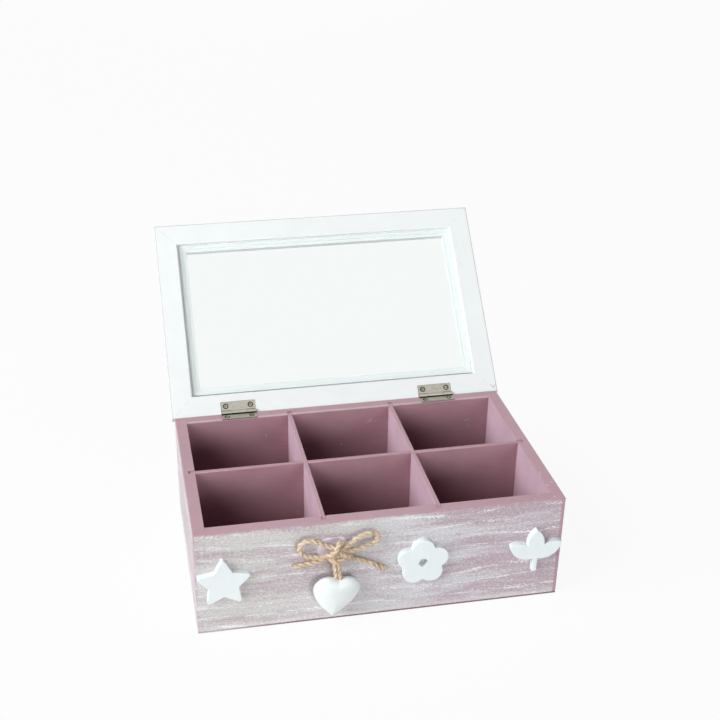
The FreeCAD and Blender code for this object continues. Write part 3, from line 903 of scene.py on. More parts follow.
@dataclass(frozen=True)
class WhitePaint(Finish):
    """Cool white paint over fine wood, for the lid and the cut-outs."""

    on_lid: bool = False
    grain: Point = (0.05, 0.8, 0.8)
    light: Colour = srgb(243, 246, 245)
    dark: Colour = srgb(240, 243, 242)
    dirt: Colour = srgb(176, 178, 172)
    # Band on the lid's outer edges: worn undercoat with painted shade.
    worn: Colour = srgb(168, 150, 154)
    film_scale: float = 0.8
    grain_detail: float = 4.0
    tone_shares: tuple[float, float] = (0.7, 0.3)
    tones: Ramp = Ramp(0.34, 0.64)
    flecks: Flecks = Flecks(0.035, 0.14, 0.022)
    fleck_share: float = 0.7
    gloss: Ramp = Ramp(0.3, 0.7, 0.52, 0.62)
    specular: float = 0.35
    height_shares: tuple[float, float] = (0.5, 0.5)
    relief: Relief = Relief(0.12, 0.04 * MM)

    # Wear of the lid, with painted shade on its outer edges
    low: Point = (-121.6, -75.6, 76.4)
    high: Point = (121.6, 76.06, 83.9)
    band_width: float = 1.0
    band_ragged: float = 0.5
    shade_and_wear_share: float = 0.8
    nail: tuple[float, float] = (118.9, 73.0)
    nail_slope: float = 0.68
    nail_line: Ramp = Ramp(0.2, 0.5, 1.0, 0.0)
    nail_face: Ramp = Ramp(76.8, 77.2, 1.0, 0.0)
    nail_middle: float = 1.4
    nail_ends: Ramp = Ramp(1.3, 1.6, 0.85, 0.0)
    mitre_line: Ramp = Ramp(0.1, 0.35, 0.4, 0.0)
    mitre_grain: Grain = Grain(0.2)
    mitre_breaks: Ramp = Ramp(0.4, 0.6)

    def wear_and_edge_shade(self, graph: Graph, place: Wire, colour: Wire) -> Wire:
        """Colour with a band on the lid's outer edges that is partly worn undercoat and partly painted
        shade, its mitres and the nail that shows at one of them.

        Args:
            graph: Graph of the material.
            place: Place on the shut lid in millimetres.
            colour: Colour of the paint.

        Returns:
            The worn colour.
        """
        # Outer-edge band, partly worn undercoat and partly painted shade.
        band = EdgeBand.place(graph, Vector=place, Low=self.low, High=self.high, Width=self.band_width,
                              Ragged=self.band_ragged)["Mask"]
        rubbed = graph.tint(colour, band, self.shade_and_wear_share, self.worn)
        x, y, z = graph.split(place)
        nail_x, nail_y = self.nail
        rise = graph.minus(nail_y, y)
        off = graph.gap(graph.gap(x, nail_x), graph.times(rise, self.nail_slope))
        line = graph.times(graph.step(off, self.nail_line), graph.step(z, self.nail_face))
        mark = graph.times(line, graph.step(graph.gap(rise, self.nail_middle), self.nail_ends))
        inset = [graph.minus((high - low) / 2, graph.gap(value, (high + low) / 2))
                 for value, low, high in zip((x, y), self.low, self.high)]
        mitre = graph.times(graph.step(graph.gap(*inset), self.mitre_line),
                            graph.step(graph.noise(place, self.mitre_grain), self.mitre_breaks))
        return graph.mix(graph.most(mark, mitre), rubbed, self.dirt)

    def wire(self, graph: Graph, shader: bpy.types.Node) -> None:
        """Two close whites with a faint grain and a few flecks.

        Args:
            graph: Graph of the material.
            shader: Its Principled shader.
        """
        place = graph.place_mm(self.on_lid)
        film = PaintFilm.place(graph, Vector=place, Scale=self.film_scale)
        grain = graph.noise(place, Grain(detail=self.grain_detail, stretch=self.grain))
        tone = graph.weighted((film["Tone"], grain), self.tone_shares)
        white = graph.mix(graph.step(tone, self.tones), self.dark, self.light)
        flecks = Specks.mask(graph, place, self.flecks)
        colour = graph.tint(white, flecks, self.fleck_share, self.dirt)
        height = graph.weighted((film["Height"], grain), self.height_shares)
        graph.dress(shader, self.wear_and_edge_shade(graph, place, colour) if self.on_lid else colour,
                    graph.step(tone, self.gloss), graph.bump(height, self.relief))
        shader.inputs["Specular IOR Level"].default_value = self.specular


@dataclass(frozen=True)
class ClearGlass(Finish):
    """Clear float glass with faint smears, which lets the lamps through."""

    tint: Colour = srgb(247, 252, 251)
    bending: float = 1.5
    smears: Grain = Grain(detail=5.0, stretch=(0.03, 0.09, 0.09))
    gloss: Ramp = Ramp(0.55, 0.8, 0.0, 0.04)

    def wire(self, graph: Graph, shader: bpy.types.Node) -> Wire:
        """Glass for sight, and nothing in the way of the lamps.

        Args:
            graph: Graph of the material.
            shader: Its Principled shader.

        Returns:
            The surface to use in place of the shader's own.
        """
        smears = graph.noise(graph.place_mm(), self.smears)
        graph.dress(shader, self.tint, graph.step(smears, self.gloss))
        shader.inputs["Transmission Weight"].default_value = 1.0
        shader.inputs["IOR"].default_value = self.bending
        path = graph.add("LightPath").outputs
        passing = graph.most(path["Is Shadow Ray"], path["Is Diffuse Ray"])
        return graph.mix_shaders(passing, shader.outputs[0], graph.add("BsdfTransparent").outputs[0])


@dataclass(frozen=True)
class ClearSealant(Finish):
    """Milky clear sealant under the glass."""

    light: Colour = srgb(244, 247, 246)
    dark: Colour = srgb(236, 240, 239)
    clouds: Grain = Grain(0.25, 3.0)
    gloss: Ramp = Ramp(0.3, 0.7, 0.3, 0.45)

    def wire(self, graph: Graph, shader: bpy.types.Node) -> None:
        """Pale and cloudy.

        Args:
            graph: Graph of the material.
            shader: Its Principled shader.
        """
        clouds = graph.noise(graph.place_mm(), self.clouds)
        graph.dress(shader, graph.mix(clouds, self.dark, self.light), graph.step(clouds, self.gloss))


@dataclass(frozen=True)
class NickelledSteel(Finish):
    """Nickel-plated pressed steel with rubbed marks, a little tarnish, and painted shade with grime along
    the gap under the hinge knuckles.
    """

    light: Colour = srgb(186, 183, 173)
    dull: Colour = srgb(164, 159, 147)
    stain: Colour = srgb(120, 108, 92)
    # Dark line under the knuckles: painted shade with grime.
    shade_and_grime: Colour = srgb(34, 28, 22)
    marks: Grain = Grain(detail=3.0, stretch=(0.18, 3.2, 3.2))
    clouds: Grain = Grain(0.35, 4.0, 0.6)
    tones: Ramp = Ramp(0.3, 0.7)
    tarnish: Ramp = Ramp(0.52, 0.74, 0.0, 0.25)
    shade_and_grime_line: tuple[float, float] = (72.9, 76.3)
    shade_and_grime_reach: tuple[Ramp, Ramp] = (Ramp(0.6, 1.1, 1.0, 0.0), Ramp(0.4, 0.8, 0.95, 0.0))
    gloss: Ramp = Ramp(0.3, 0.75, 0.34, 0.48)
    relief: Relief = Relief(0.25, 0.03 * MM)

    def wire(self, graph: Graph, shader: bpy.types.Node) -> None:
        """Drawn marks along the metal under clouds of tarnish, and a dark line of painted shade with grime
        under the knuckles.

        Args:
            graph: Graph of the material.
            shader: Its Principled shader.
        """
        place = graph.place_mm()
        drawn = graph.noise(place, self.marks)
        clouds = graph.noise(place, self.clouds)
        plate = graph.mix(graph.step(drawn, self.tones), self.dull, self.light)
        plate = graph.mix(graph.step(clouds, self.tarnish), plate, self.stain)
        _, y, z = graph.split(place)
        # Painted shade with grime along the gap under the knuckles.
        near = [graph.step(graph.gap(value, line), reach)
                for value, line, reach in zip((y, z), self.shade_and_grime_line, self.shade_and_grime_reach)]
        graph.dress(shader, graph.mix(graph.times(*near), plate, self.shade_and_grime), graph.step(clouds, self.gloss),
                    graph.bump(drawn, self.relief))
        shader.inputs["Metallic"].default_value = 1.0


@dataclass(frozen=True)
class TarnishedScrew(Finish):
    """Screw head of bright metal in clouds, with painted shade and some tarnish darkening its cross and the
    ring round its edge.
    """

    on_lid: bool = False
    face: float = 76.1
    inward: float = -1.0
    row: float = 69.6
    from_centre: float = 9.0
    light: Colour = srgb(250, 240, 226)
    dull: Colour = srgb(186, 168, 150)
    # Dark of the cross and of the ring round the head: painted shade with some tarnish.
    stain: Colour = srgb(22, 13, 9)
    clouds: Grain = Grain(0.8, 3.0)
    tones: Ramp = Ramp(0.35, 0.65)
    edge: Ramp = Ramp(0.9, 1.35)
    cross: Ramp = Ramp(0.03, 0.12)
    shade_and_tarnish_share: float = 0.94
    gloss: Ramp = Ramp(0.3, 0.7, 0.3, 0.45)

    def wire(self, graph: Graph, shader: bpy.types.Node) -> None:
        """Painted shade with some tarnish, from the distance to the screw's axis and from the depth under
        the leaf's face.

        Args:
            graph: Graph of the material.
            shader: Its Principled shader.
        """
        place = graph.place_mm(self.on_lid)
        x, y, z = graph.split(place)
        across = graph.minus(graph.gap(graph.size(x), HINGE_CENTRE), self.from_centre)
        along = graph.minus(y, self.row)
        squares = [graph.times(value, value) for value in (across, along)]
        # Painted shade with some tarnish: a dark ring round the head's edge, and dark in the cross below the
        # face.
        edge = graph.step(graph.math("SQRT", graph.plus(*squares)), self.edge)
        depth = graph.times(graph.minus(z, self.face), self.inward)
        clouds = graph.noise(place, self.clouds)
        metal = graph.mix(graph.step(clouds, self.tones), self.dull, self.light)
        dark = graph.most(edge, graph.step(depth, self.cross))
        graph.dress(shader, graph.tint(metal, dark, self.shade_and_tarnish_share, self.stain),
                    graph.step(clouds, self.gloss))
        shader.inputs["Metallic"].default_value = 1.0


@dataclass(frozen=True)
class JuteTwine(Finish):
    """Dry two-ply jute."""

    light: Colour = srgb(236, 218, 192)
    dark: Colour = srgb(180, 152, 122)
    rosy: Colour = srgb(212, 180, 166)
    patches: Grain = Grain(0.22)
    tone_shares: tuple[float, float] = (0.75, 0.25)
    tones: Ramp = Ramp(0.34, 0.66)
    rosy_patches: Ramp = Ramp(0.5, 0.75, 0.0, 0.5)
    gloss: Ramp = Ramp(0.3, 0.7, 0.72, 0.9)
    sheen: float = 0.2
    sheen_roughness: float = 0.4
    relief: Relief = Relief(0.7, 0.12 * MM)

    def wire(self, graph: Graph, shader: bpy.types.Node) -> None:
        """Fibre lines from the twine's own fibre attribute.

        Args:
            graph: Graph of the material.
            shader: Its Principled shader.
        """
        given = graph.add("Attribute", attribute_name="fibre")
        lay = FibreLay.place(graph, Vector=given.outputs["Vector"])
        patches = graph.noise(graph.place_mm(), self.patches)
        tone = graph.weighted((lay["Tone"], patches), self.tone_shares)
        straw = graph.mix(graph.step(tone, self.tones), self.dark, self.light)
        graph.dress(shader, graph.mix(graph.step(patches, self.rosy_patches), straw, self.rosy),
                    graph.step(lay["Tone"], self.gloss), graph.bump(lay["Height"], self.relief))
        shader.inputs["Sheen Weight"].default_value = self.sheen
        shader.inputs["Sheen Roughness"].default_value = self.sheen_roughness


@dataclass(frozen=True)
class SmoothCast(Finish):
    """Smooth cloudy surface of something cast or poured, such as the heart's satin resin."""

    light: Colour = srgb(233, 238, 237)
    dark: Colour = srgb(229, 234, 233)
    clouds: Grain = Grain(0.06, 1.0)
    tones: Ramp = Ramp(0.3, 0.7)
    gloss: Ramp = Ramp(0.3, 0.7, 0.38, 0.44)
    skin: Grain = Grain(0.3, 1.0)
    relief: Relief = Relief(0.1, 0.05 * MM)
    wet: float = 0.0

    def wire(self, graph: Graph, shader: bpy.types.Node) -> None:
        """Two close tones in clouds, a soft unevenness, and a coat where it looks wet.

        Args:
            graph: Graph of the material.
            shader: Its Principled shader.
        """
        place = graph.place_mm()
        clouds = graph.noise(place, self.clouds)
        graph.dress(shader, graph.mix(graph.step(clouds, self.tones), self.dark, self.light),
                    graph.step(clouds, self.gloss), graph.bump(graph.noise(place, self.skin), self.relief))
        shader.inputs["Coat Weight"].default_value = self.wet


@dataclass(frozen=True)
class PaleFloor(Finish):
    """Plain pale floor that keeps the object's shadow."""

    tint: Colour = (0.88, 0.88, 0.88, 1.0)
    roughness: float = 0.9
    specular: float = 0.1
    lit_share: float = 0.93

    def wire(self, graph: Graph, shader: bpy.types.Node) -> Wire:
        """Matt white, seen partly as even white by the camera and by mirrors and glass.

        Args:
            graph: Graph of the material.
            shader: Its Principled shader.

        Returns:
            The surface to use in place of the shader's own.
        """
        graph.dress(shader, self.tint, self.roughness)
        shader.inputs["Specular IOR Level"].default_value = self.specular
        share = graph.times(seen_ray(graph), self.lit_share)
        return graph.mix_shaders(share, shader.outputs[0], graph.add("Emission", WHITE, 1.0).outputs[0])


def seen_ray(graph: Graph) -> Wire:
    """1 for rays from the camera, also by way of gloss and glass, and 0 for light that lights matt faces.

    Args:
        graph: Graph of a material or of the world.

    Returns:
        The socket with the 1 or 0.
    """
    path = graph.add("LightPath").outputs
    first = graph.most(path["Is Camera Ray"], path["Is Glossy Ray"])
    any_way = graph.most(first, path["Is Transmission Ray"])
    return graph.times(any_way, graph.math("LESS_THAN", path["Diffuse Depth"], 0.5))


WHITEWASH = WhitewashedWood("whitewash_over_mauve", Slot.WHITEWASHED_WOOD)
# The back board's inner face takes the darker rosy copy of the mauve, which is painted shade.
WHITEWASH_BACK = WhitewashedWood("whitewash_over_shaded_rosy_mauve", Slot.WHITEWASHED_WOOD, inside=SHADED_ROSY_MAUVE,
                                 worn_edge=0.6)
MAUVE = MauvePaint("mauve_paint", Slot.MAUVE_WOOD)
# Dividers' darker rosy copy of the mauve, which is painted shade.
SHADED_ROSY_PAINT = MauvePaint("shaded_rosy_mauve_paint", Slot.MAUVE_WOOD, tones=SHADED_ROSY_MAUVE)
LID_WHITE = WhitePaint("lid_white_paint", Slot.WHITE_WOOD, on_lid=True)
LID_SIDE_WHITE = WhitePaint("lid_side_white_paint", Slot.WHITE_WOOD, on_lid=True, grain=(0.8, 0.05, 0.8))
CUTOUT_WHITE = WhitePaint("cut_out_white_paint", Slot.WHITE_WOOD, grain=(0.8, 0.8, 0.05),
                          light=srgb(236, 242, 243), dark=srgb(231, 238, 239))
GLASS = ClearGlass("lid_glass", Slot.CLEAR_GLASS)
SEALANT = ClearSealant("glass_sealant", Slot.CLEAR_SEALANT)
NICKEL = NickelledSteel("nickelled_hinge", Slot.NICKELLED_STEEL)
BOX_SCREW = TarnishedScrew("box_screw", Slot.NICKELLED_STEEL)
LID_SCREW = TarnishedScrew("lid_screw", Slot.NICKELLED_STEEL, on_lid=True, face=76.3, inward=1.0)
JUTE = JuteTwine("dry_jute", Slot.JUTE_TWINE)
RESIN = SmoothCast("heart_resin", Slot.WHITE_RESIN)
GLUE = SmoothCast("lilac_glue", Slot.SET_GLUE, light=srgb(244, 233, 248), dark=srgb(235, 223, 239),
                  clouds=Grain(0.2, 3.0), tones=Ramp(0.35, 0.65), gloss=Ramp(0.3, 0.7, 0.16, 0.30),
                  skin=Grain(0.4), relief=Relief(0.4, 0.2 * MM), wet=0.3)
FLOOR = PaleFloor("pale_floor")


def add_object(name: str, data: Any) -> bpy.types.Object:
    """Puts a new object with the given data in the scene.

    Args:
        name: Name of the object.
        data: Its mesh, lamp or camera.

    Returns:
        The new object.
    """
    made = bpy.data.objects.new(name, data)
    bpy.context.scene.collection.objects.link(made)
    return made


def add_mesh(name: str, shape: Shape, finish: Finish) -> bpy.types.Object:
    """Puts a new mesh object in the scene, and frees the shape that it is made from.

    Args:
        name: Name of the object.
        shape: Its shape.
        finish: Its finish.

    Returns:
        The new object.
    """
    mesh = bpy.data.meshes.new(name)
    shape.to_mesh(mesh)
    shape.free()
    mesh.materials.append(finish.material())
    return add_object(name, mesh)


def add_piece(name: str, shape: Shape, finish: Finish, body: Body, *nodes: str) -> bpy.types.Object:
    """Makes a piece of the object from a finished shape.

    Args:
        name: Name of the piece.
        shape: Its shape in the row frame, which is freed.
        finish: Its finish.
        body: Body that it rides on.
        *nodes: CAD nodes that it stands for.

    Returns:
        The new object.
    """
    piece = add_mesh(name, shape, finish)
    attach(piece, body.value)
    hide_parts(*nodes)
    LOG.info("%s: %d faces on %s", name, len(piece.data.polygons), body.value)
    return piece


def dress_nodes(finish: Finish, *nodes: str) -> None:
    """Gives CAD nodes whose shape stays their finish.

    Args:
        finish: The finish.
        *nodes: Names of the CAD nodes.
    """
    for node in nodes:
        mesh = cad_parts[node].data
        mesh.materials.clear()
        mesh.materials.append(finish.material())
        LOG.info("%s: kept, in %s", node, finish.name)


def softened(node: str, *eases: Ease) -> Shape:
    """Copy of a board's shape with its sharp edges eased.

    Args:
        node: CAD node to copy.
        *eases: Width of the eased edge in metres, and the test on an edge's middle for the edges to ease.

    Returns:
        The new shape.
    """
    shape = bmesh.new()
    shape.from_mesh(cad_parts[node].data)
    bmesh.ops.remove_doubles(shape, verts=shape.verts, dist=MERGE_DISTANCE)
    bmesh.ops.dissolve_limit(shape, angle_limit=FLAT_ANGLE, verts=shape.verts, edges=shape.edges)
    for face in shape.faces:
        face.smooth = False
    for width, wanted in eases:
        sharp = []
        for edge in shape.edges:
            middle = (edge.verts[0].co + edge.verts[1].co) / 2
            turned = edge.is_manifold and edge.calc_face_angle(0.0) > SHARP_ANGLE
            if turned and edge.calc_length() > SHORTEST_EASED and wanted(middle):
                sharp.append(edge)
        made = bmesh.ops.bevel(shape, geom=sharp, offset=width, offset_type="OFFSET", segments=EASE_SEGMENTS,
                               profile=0.5, affect="EDGES", clamp_overlap=False, material=-1)
        for face in made["faces"]:
            face.smooth = True
    return shape


@dataclass
class Carcass:
    """The four boards, the base and its nails."""

    above_base: float = 4.4 * MM
    back_inner: float = 65.0 * MM
    hinge_foot: float = 74.0 * MM
    cross_divider: float = 37.33 * MM
    groove_room: float = 2.2 * MM
    ease: float = 0.18 * MM

    def clear_of_hinge(self, middle: Vector) -> bool:
        """True away from the hinge recesses in the back board's rim."""
        beside = abs(abs(middle.x) - HINGE_CENTRE * MM) < HINGE_ROOM * MM
        return not (beside and middle.y > self.back_inner and middle.z > self.hinge_foot)

    def clear_of_groove(self, middle: Vector) -> bool:
        """True away from the grooves that hold the dividers' ends.

        Args:
            middle: Middle of an edge in metres.

        Returns:
            True where the edge may be eased.
        """
        beside_cross = abs(abs(middle.x) - self.cross_divider) < self.groove_room
        beside_long = abs(middle.y) < self.groove_room
        return not (beside_cross or beside_long)

    def wanted(self, middle: Vector) -> bool:
        """True for the edges above the base that show."""
        above = middle.z > self.above_base
        return above and self.clear_of_hinge(middle) and self.clear_of_groove(middle)

    def build(self) -> None:
        """Makes the boards and dresses the nails."""
        finishes = {"front": WHITEWASH, "back": WHITEWASH_BACK, "left": WHITEWASH, "right": WHITEWASH}
        for side, finish in finishes.items():
            node = f"{side}_panel"
            add_piece(f"{side}_board", softened(node, (self.ease, self.wanted)), finish, Body.BOX, node)
        add_piece("base_board", softened("base_panel"), MAUVE, Body.BOX, "base_panel")
        dress_nodes(NICKEL, "base_nails")


@dataclass
class Dividers:
    """The long divider and the two cross dividers."""

    ease: float = 0.25 * MM
    near_top: float = 74.5 * MM

    def upper(self, middle: Vector) -> bool:
        """True on the upper edges."""
        return middle.z > self.near_top

    def build(self) -> None:
        """Makes the dividers with eased upper edges."""
        # The long divider takes the darker rosy mauve, painted shade for its face towards the front.
        finishes = {"long_divider": SHADED_ROSY_PAINT, "left_cross_divider": MAUVE, "right_cross_divider": MAUVE}
        for node, finish in finishes.items():
            add_piece(node + "_board", softened(node, (self.ease, self.upper)), finish, Body.BOX, node)


@dataclass
class Lid:
    """The lid's four rails, its glass and the sealant."""

    hinge_reach: float = 10.0
    mitre_room: float = 0.5
    rail_face: float = 16.0
    nearly: float = 0.3
    ease: float = 0.22 * MM
    round_by_glass: float = 1.0 * MM
    glass_ease: float = 0.15 * MM
    bed_gap: float = 0.06 * MM

    def clear_of_hinge(self, middle: Vector) -> bool:
        """True away from the hinge recesses."""
        away = (middle / MM - PIN_LINE).yz.length > self.hinge_reach
        return away or abs(abs(middle.x) - HINGE_CENTRE * MM) > HINGE_ROOM * MM

    def inset(self, middle: Vector) -> Vector:
        """Distances in millimetres from the shut lid's sides, its front or back, and its underside.

        Args:
            middle: Middle of an edge in metres.

        Returns:
            The three distances.
        """
        shut = Matrix.Rotation(LID_OPEN, 3, "X") @ (middle / MM - PIN_LINE) + PIN_LINE
        across = min(shut.y - LID_WHITE.low[1], LID_WHITE.high[1] - shut.y)
        return Vector((LID_WHITE.high[0] - abs(shut.x), across, shut.z - LID_WHITE.low[2]))

    def by_glass(self, middle: Vector) -> bool:
        """True for the rails' edges round the glass on the underside."""
        side, across, rise = self.inset(middle)
        return abs(rise) < self.nearly and abs(min(side, across) - self.rail_face) < self.nearly

    def wanted(self, middle: Vector) -> bool:
        """True for other edges, away from the hinges and from the mitres.

        Args:
            middle: Middle of an edge in metres.

        Returns:
            True where the edge is eased.
        """
        side, across, _ = self.inset(middle)
        on_mitre = abs(side - across) < self.mitre_room
        return self.clear_of_hinge(middle) and not on_mitre and not self.by_glass(middle)

    def pane(self) -> None:
        """Makes the glass with ground edges, a hair clear of the sealant under it."""
        shape = softened("glass_pane", (self.glass_ease, lambda middle: True))
        bed = min(shape.faces, key=lambda face: face.normal.z * face.calc_area())
        bmesh.ops.translate(shape, verts=bed.verts, vec=bed.normal * -self.bed_gap)
        add_piece("lid_pane", shape, GLASS, Body.LID, "glass_pane")

    def build(self) -> None:
        """Makes the rails and the glass and dresses the sealant."""
        finishes = {"front": LID_WHITE, "back": LID_WHITE, "left": LID_SIDE_WHITE, "right": LID_SIDE_WHITE}
        for side, finish in finishes.items():
            node = f"lid_{side}_rail"
            shape = softened(node, (self.round_by_glass, self.by_glass), (self.ease, self.wanted))
            add_piece(f"lid_frame_{side}", shape, finish, Body.LID, node)
        self.pane()
        dress_nodes(SEALANT, "glass_sealant")


@dataclass
class Hinges:
    """Two pressed butt hinges with their pins and screws."""

    sides: tuple[str, ...] = ("left", "right")

    def build(self) -> None:
        """Dresses the leaves, pins and screws."""
        for side in self.sides:
            dress_nodes(NICKEL, f"{side}_hinge_box_leaf", f"{side}_hinge_lid_leaf", f"{side}_hinge_pin")
        dress_nodes(BOX_SCREW, "box_leaf_screws")
        dress_nodes(LID_SCREW, "lid_leaf_screws")


@dataclass
class Ornaments:
    """White cut-outs glued to the front."""

    nodes: tuple[str, ...] = ("star_ornament", "flower_ornament", "sprig_ornament")

    def build(self) -> None:
        """Dresses the cut-outs."""
        dress_nodes(CUTOUT_WHITE, *self.nodes)


def frames_along(line: Line) -> list[Matrix]:
    """Untwisted frames along a line, each with its Z axis along the line.

    Args:
        line: Points of the line.

    Returns:
        One matrix for each point.
    """
    frames = []
    side = None
    for index, point in enumerate(line):
        ahead = line[min(index + 1, len(line) - 1)] - line[max(index - 1, 0)]
        along = ahead.normalized()
        if side is None:
            side = along.orthogonal()
        side = (side - along * side.dot(along)).normalized()
        turn = Matrix((side, along.cross(side), along)).transposed()
        frames.append(Matrix.Translation(point) @ turn.to_4x4())
    return frames


def lengths_along(line: Line) -> list[float]:
    """Distance from the start to each point of a line.

    Args:
        line: Points of the line.

    Returns:
        The distances in metres.
    """
    total = 0.0
    result = [0.0]
    for before, after in zip(line, line[1:]):
        total += (after - before).length
        result.append(total)
    return result


def evenly(line: Line, step: float) -> Line:
    """The line again with points a step apart.

    Args:
        line: Points of the line.
        step: Distance between the new points, about.

    Returns:
        The new points.
    """
    along = lengths_along(line)
    count = max(2, round(along[-1] / step))
    result = []
    place = 0
    for index in range(count + 1):
        at = along[-1] * index / count
        while place < len(line) - 2 and along[place + 1] < at:
            place += 1
        span = along[place + 1] - along[place]
        result.append(line[place].lerp(line[place + 1], (at - along[place]) / span))
    return result


def nurbs_line(name: str, points: Sequence[Point]) -> Line:
    """Smooth line with the given control points.

    Args:
        name: Name for the curve while it is made.
        points: Control points in metres.

    Returns:
        Points read from the spline.
    """
    curve = bpy.data.curves.new(name, "CURVE")
    curve.dimensions = "3D"
    spline = curve.splines.new("NURBS")
    spline.points.add(len(points) - 1)
    for place, point in zip(spline.points, points):
        place.co = (*point, 1.0)
    spline.order_u = SPLINE_ORDER
    spline.use_endpoint_u = True
    spline.resolution_u = SPLINE_STEPS
    holder = bpy.data.objects.new(name, curve)
    mesh = bpy.data.meshes.new_from_object(holder)
    line = [vertex.co.copy() for vertex in mesh.vertices]
    bpy.data.meshes.remove(mesh)
    bpy.data.objects.remove(holder)
    bpy.data.curves.remove(curve)
    return line


@dataclass
class TwoPly:
    """Two-ply twine laid along a line."""

    diameter: float = 3.5 * MM
    pitch: float = 8.5 * MM
    ply_share: float = 0.62
    lump_share: float = 0.22
    step: float = 0.4 * MM
    sides: int = 10
    hairs_per_metre: float = 4200.0
    hair_radius: float = 0.04 * MM
    first_turn: float = 0.6
    swell_scale: float = 0.9
    hair_sides: int = 3
    hair_root: float = 0.40
    hair_lengths: tuple[float, float] = (0.7 * MM, 2.1 * MM)
    hair_rises: tuple[float, float] = (0.2, 0.75)
    hair_sway: float = 0.4
    hair_parts: tuple[float, ...] = (0.0, 0.35, 0.7, 1.0)
    hair_tapers: tuple[float, ...] = (1.0, 0.9, 0.7, 0.4)
    fray_reach: float = 2.3 * MM
    fray_thinning: float = 0.6
    wisps: int = 26
    wisp_sides: int = 4
    wisp_root: float = 0.3
    wisp_reaches: tuple[float, float] = (0.5, 1.0)
    wisp_parts: tuple[float, ...] = (0.0, 0.25, 0.5, 0.75, 1.0)
    wisp_tapers: tuple[float, ...] = (3.4, 3.2, 2.8, 2.0, 1.0)

    def sweep(self, shape: Shape, lines: list[Line], radii: list[list[float]], sides: int,
              lumps: float = 0.0) -> None:
        """Draws a ring along each of several lines with the same count of points.

        Args:
            shape: Shape to add to.
            lines: Points of each line.
            radii: Radius at each point of each line.
            sides: Corners of the ring.
            lumps: Share of the radius that comes and goes along and round it.
        """
        layers = shape.verts.layers
        fibre = layers.float_vector.get("fibre") or layers.float_vector.new("fibre")
        owner = layers.int.get("strand") or layers.int.new("strand")
        frames = [frames_along(line) for line in lines]
        along = [lengths_along(line) for line in lines]
        verts = []
        for strand, places in enumerate(frames):
            made = bmesh.ops.create_circle(shape, cap_ends=True, segments=sides, radius=radii[strand][0],
                                           matrix=places[0])["verts"]
            for vert in made:
                vert[owner] = strand
            verts += made
        edges = list(dict.fromkeys(edge for vert in verts for edge in vert.link_edges))
        rings = [verts]
        for index in range(1, len(lines[0])):
            grown = bmesh.ops.extrude_edge_only(shape, edges=edges)["geom"]
            verts = [item for item in grown if isinstance(item, bmesh.types.BMVert)]
            edges = [item for item in grown if isinstance(item, bmesh.types.BMEdge)]
            moves = []
            for places, size in zip(frames, radii):
                grow = Matrix.Scale(size[index] / size[index - 1], 4)
                moves.append(places[index] @ grow @ places[index - 1].inverted())
            for vert in verts:
                vert.co = moves[vert[owner]] @ vert.co
            rings.append(verts)
        bmesh.ops.holes_fill(shape, edges=edges, sides=sides)
        for index, ring in enumerate(rings):
            for vert in ring:
                strand = vert[owner]
                middle = lines[strand][index]
                local = frames[strand][index].inverted() @ vert.co
                vert[fibre] = Vector((local.x, local.y, along[strand][index])) / MM
                swell = noise.noise(vert[fibre] * self.swell_scale + lines[strand][0] / MM)
                vert.co += (vert.co - middle).normalized() * radii[strand][index] * lumps * swell

    def lay(self, shape: Shape, line: Line, turn: float, fray: float = 0.0) -> None:
        """Lays the two plies round a line.

        Args:
            shape: Shape to add to.
            line: Points of the twine's middle.
            turn: Angle of the first ply at the start.
            fray: Length at the far end over which the plies come apart.
        """
        points = evenly(line, self.step)
        frames = frames_along(points)
        along = lengths_along(points)
        ply = self.diameter / 2 * self.ply_share
        offset = self.diameter / 2 - ply
        lines, radii = [], []
        for side in (0, 1):
            middle, sizes = [], []
            for place, at in zip(frames, along):
                loose = max(0.0, 1 - (along[-1] - at) / fray) if fray else 0.0
                angle = turn + math.pi * side + 2 * math.pi * at / self.pitch
                reach = offset + (self.fray_reach - offset) * loose * loose
                middle.append(place @ Vector((math.cos(angle) * reach, math.sin(angle) * reach, 0.0)))
                sizes.append(ply * (1 - self.fray_thinning * loose))
            lines.append(middle)
            radii.append(sizes)
        self.sweep(shape, lines, radii, self.sides, self.lump_share)

    def fuzz(self, shape: Shape, line: Line, draw: Random) -> None:
        """Sets loose hairs on the twine.

        Args:
            shape: Shape to add to.
            line: Points of the twine's middle.
            draw: Source of the hairs' places.
        """
        frames = frames_along(evenly(line, self.step))
        hairs = []
        for _ in range(int(self.hairs_per_metre * lengths_along(line)[-1])):
            place = frames[draw.randrange(len(frames))]
            angle = draw.uniform(0, 2 * math.pi)
            out = Vector((math.cos(angle), math.sin(angle), 0.0))
            lean = Vector((0.0, 0.0, draw.choice((-1.0, 1.0))))
            root = out * self.diameter * self.hair_root
            long = draw.uniform(*self.hair_lengths)
            rise = draw.uniform(*self.hair_rises)
            sway = Vector((draw.uniform(-1, 1), draw.uniform(-1, 1), 0.0)) * self.hair_sway
            hairs.append([place @ (root + (out * rise + lean * (1 - rise) + sway * part) * long * part)
                          for part in self.hair_parts])
        tapers = [self.hair_radius * taper for taper in self.hair_tapers]
        self.sweep(shape, hairs, [tapers] * len(hairs), self.hair_sides)

    def wisp(self, shape: Shape, line: Line, fray: float, draw: Random) -> None:
        """Spreads single fibres out of a frayed end.

        Args:
            shape: Shape to add to.
            line: Points of the twine's middle.
            fray: Length of the frayed end.
            draw: Source of the fibres' places.
        """
        points = evenly(line, self.step)
        count = round(fray / self.step)
        tail = frames_along(points)[-count:]
        fibres = []
        for _ in range(self.wisps):
            angle = draw.uniform(0, 2 * math.pi)
            out = Vector((math.cos(angle), math.sin(angle), 0.0))
            reach = draw.uniform(*self.wisp_reaches) * self.fray_reach
            first = draw.randrange(count // 2)
            last = draw.randrange(count * 3 // 4, count)
            root = self.diameter * self.wisp_root
            fibres.append([tail[round(first + (last - first) * part)] @ (out * (root + reach * part * part))
                           for part in self.wisp_parts])
        tapers = [self.hair_radius * taper for taper in self.wisp_tapers]
        self.sweep(shape, fibres, [tapers] * len(fibres), self.wisp_sides)


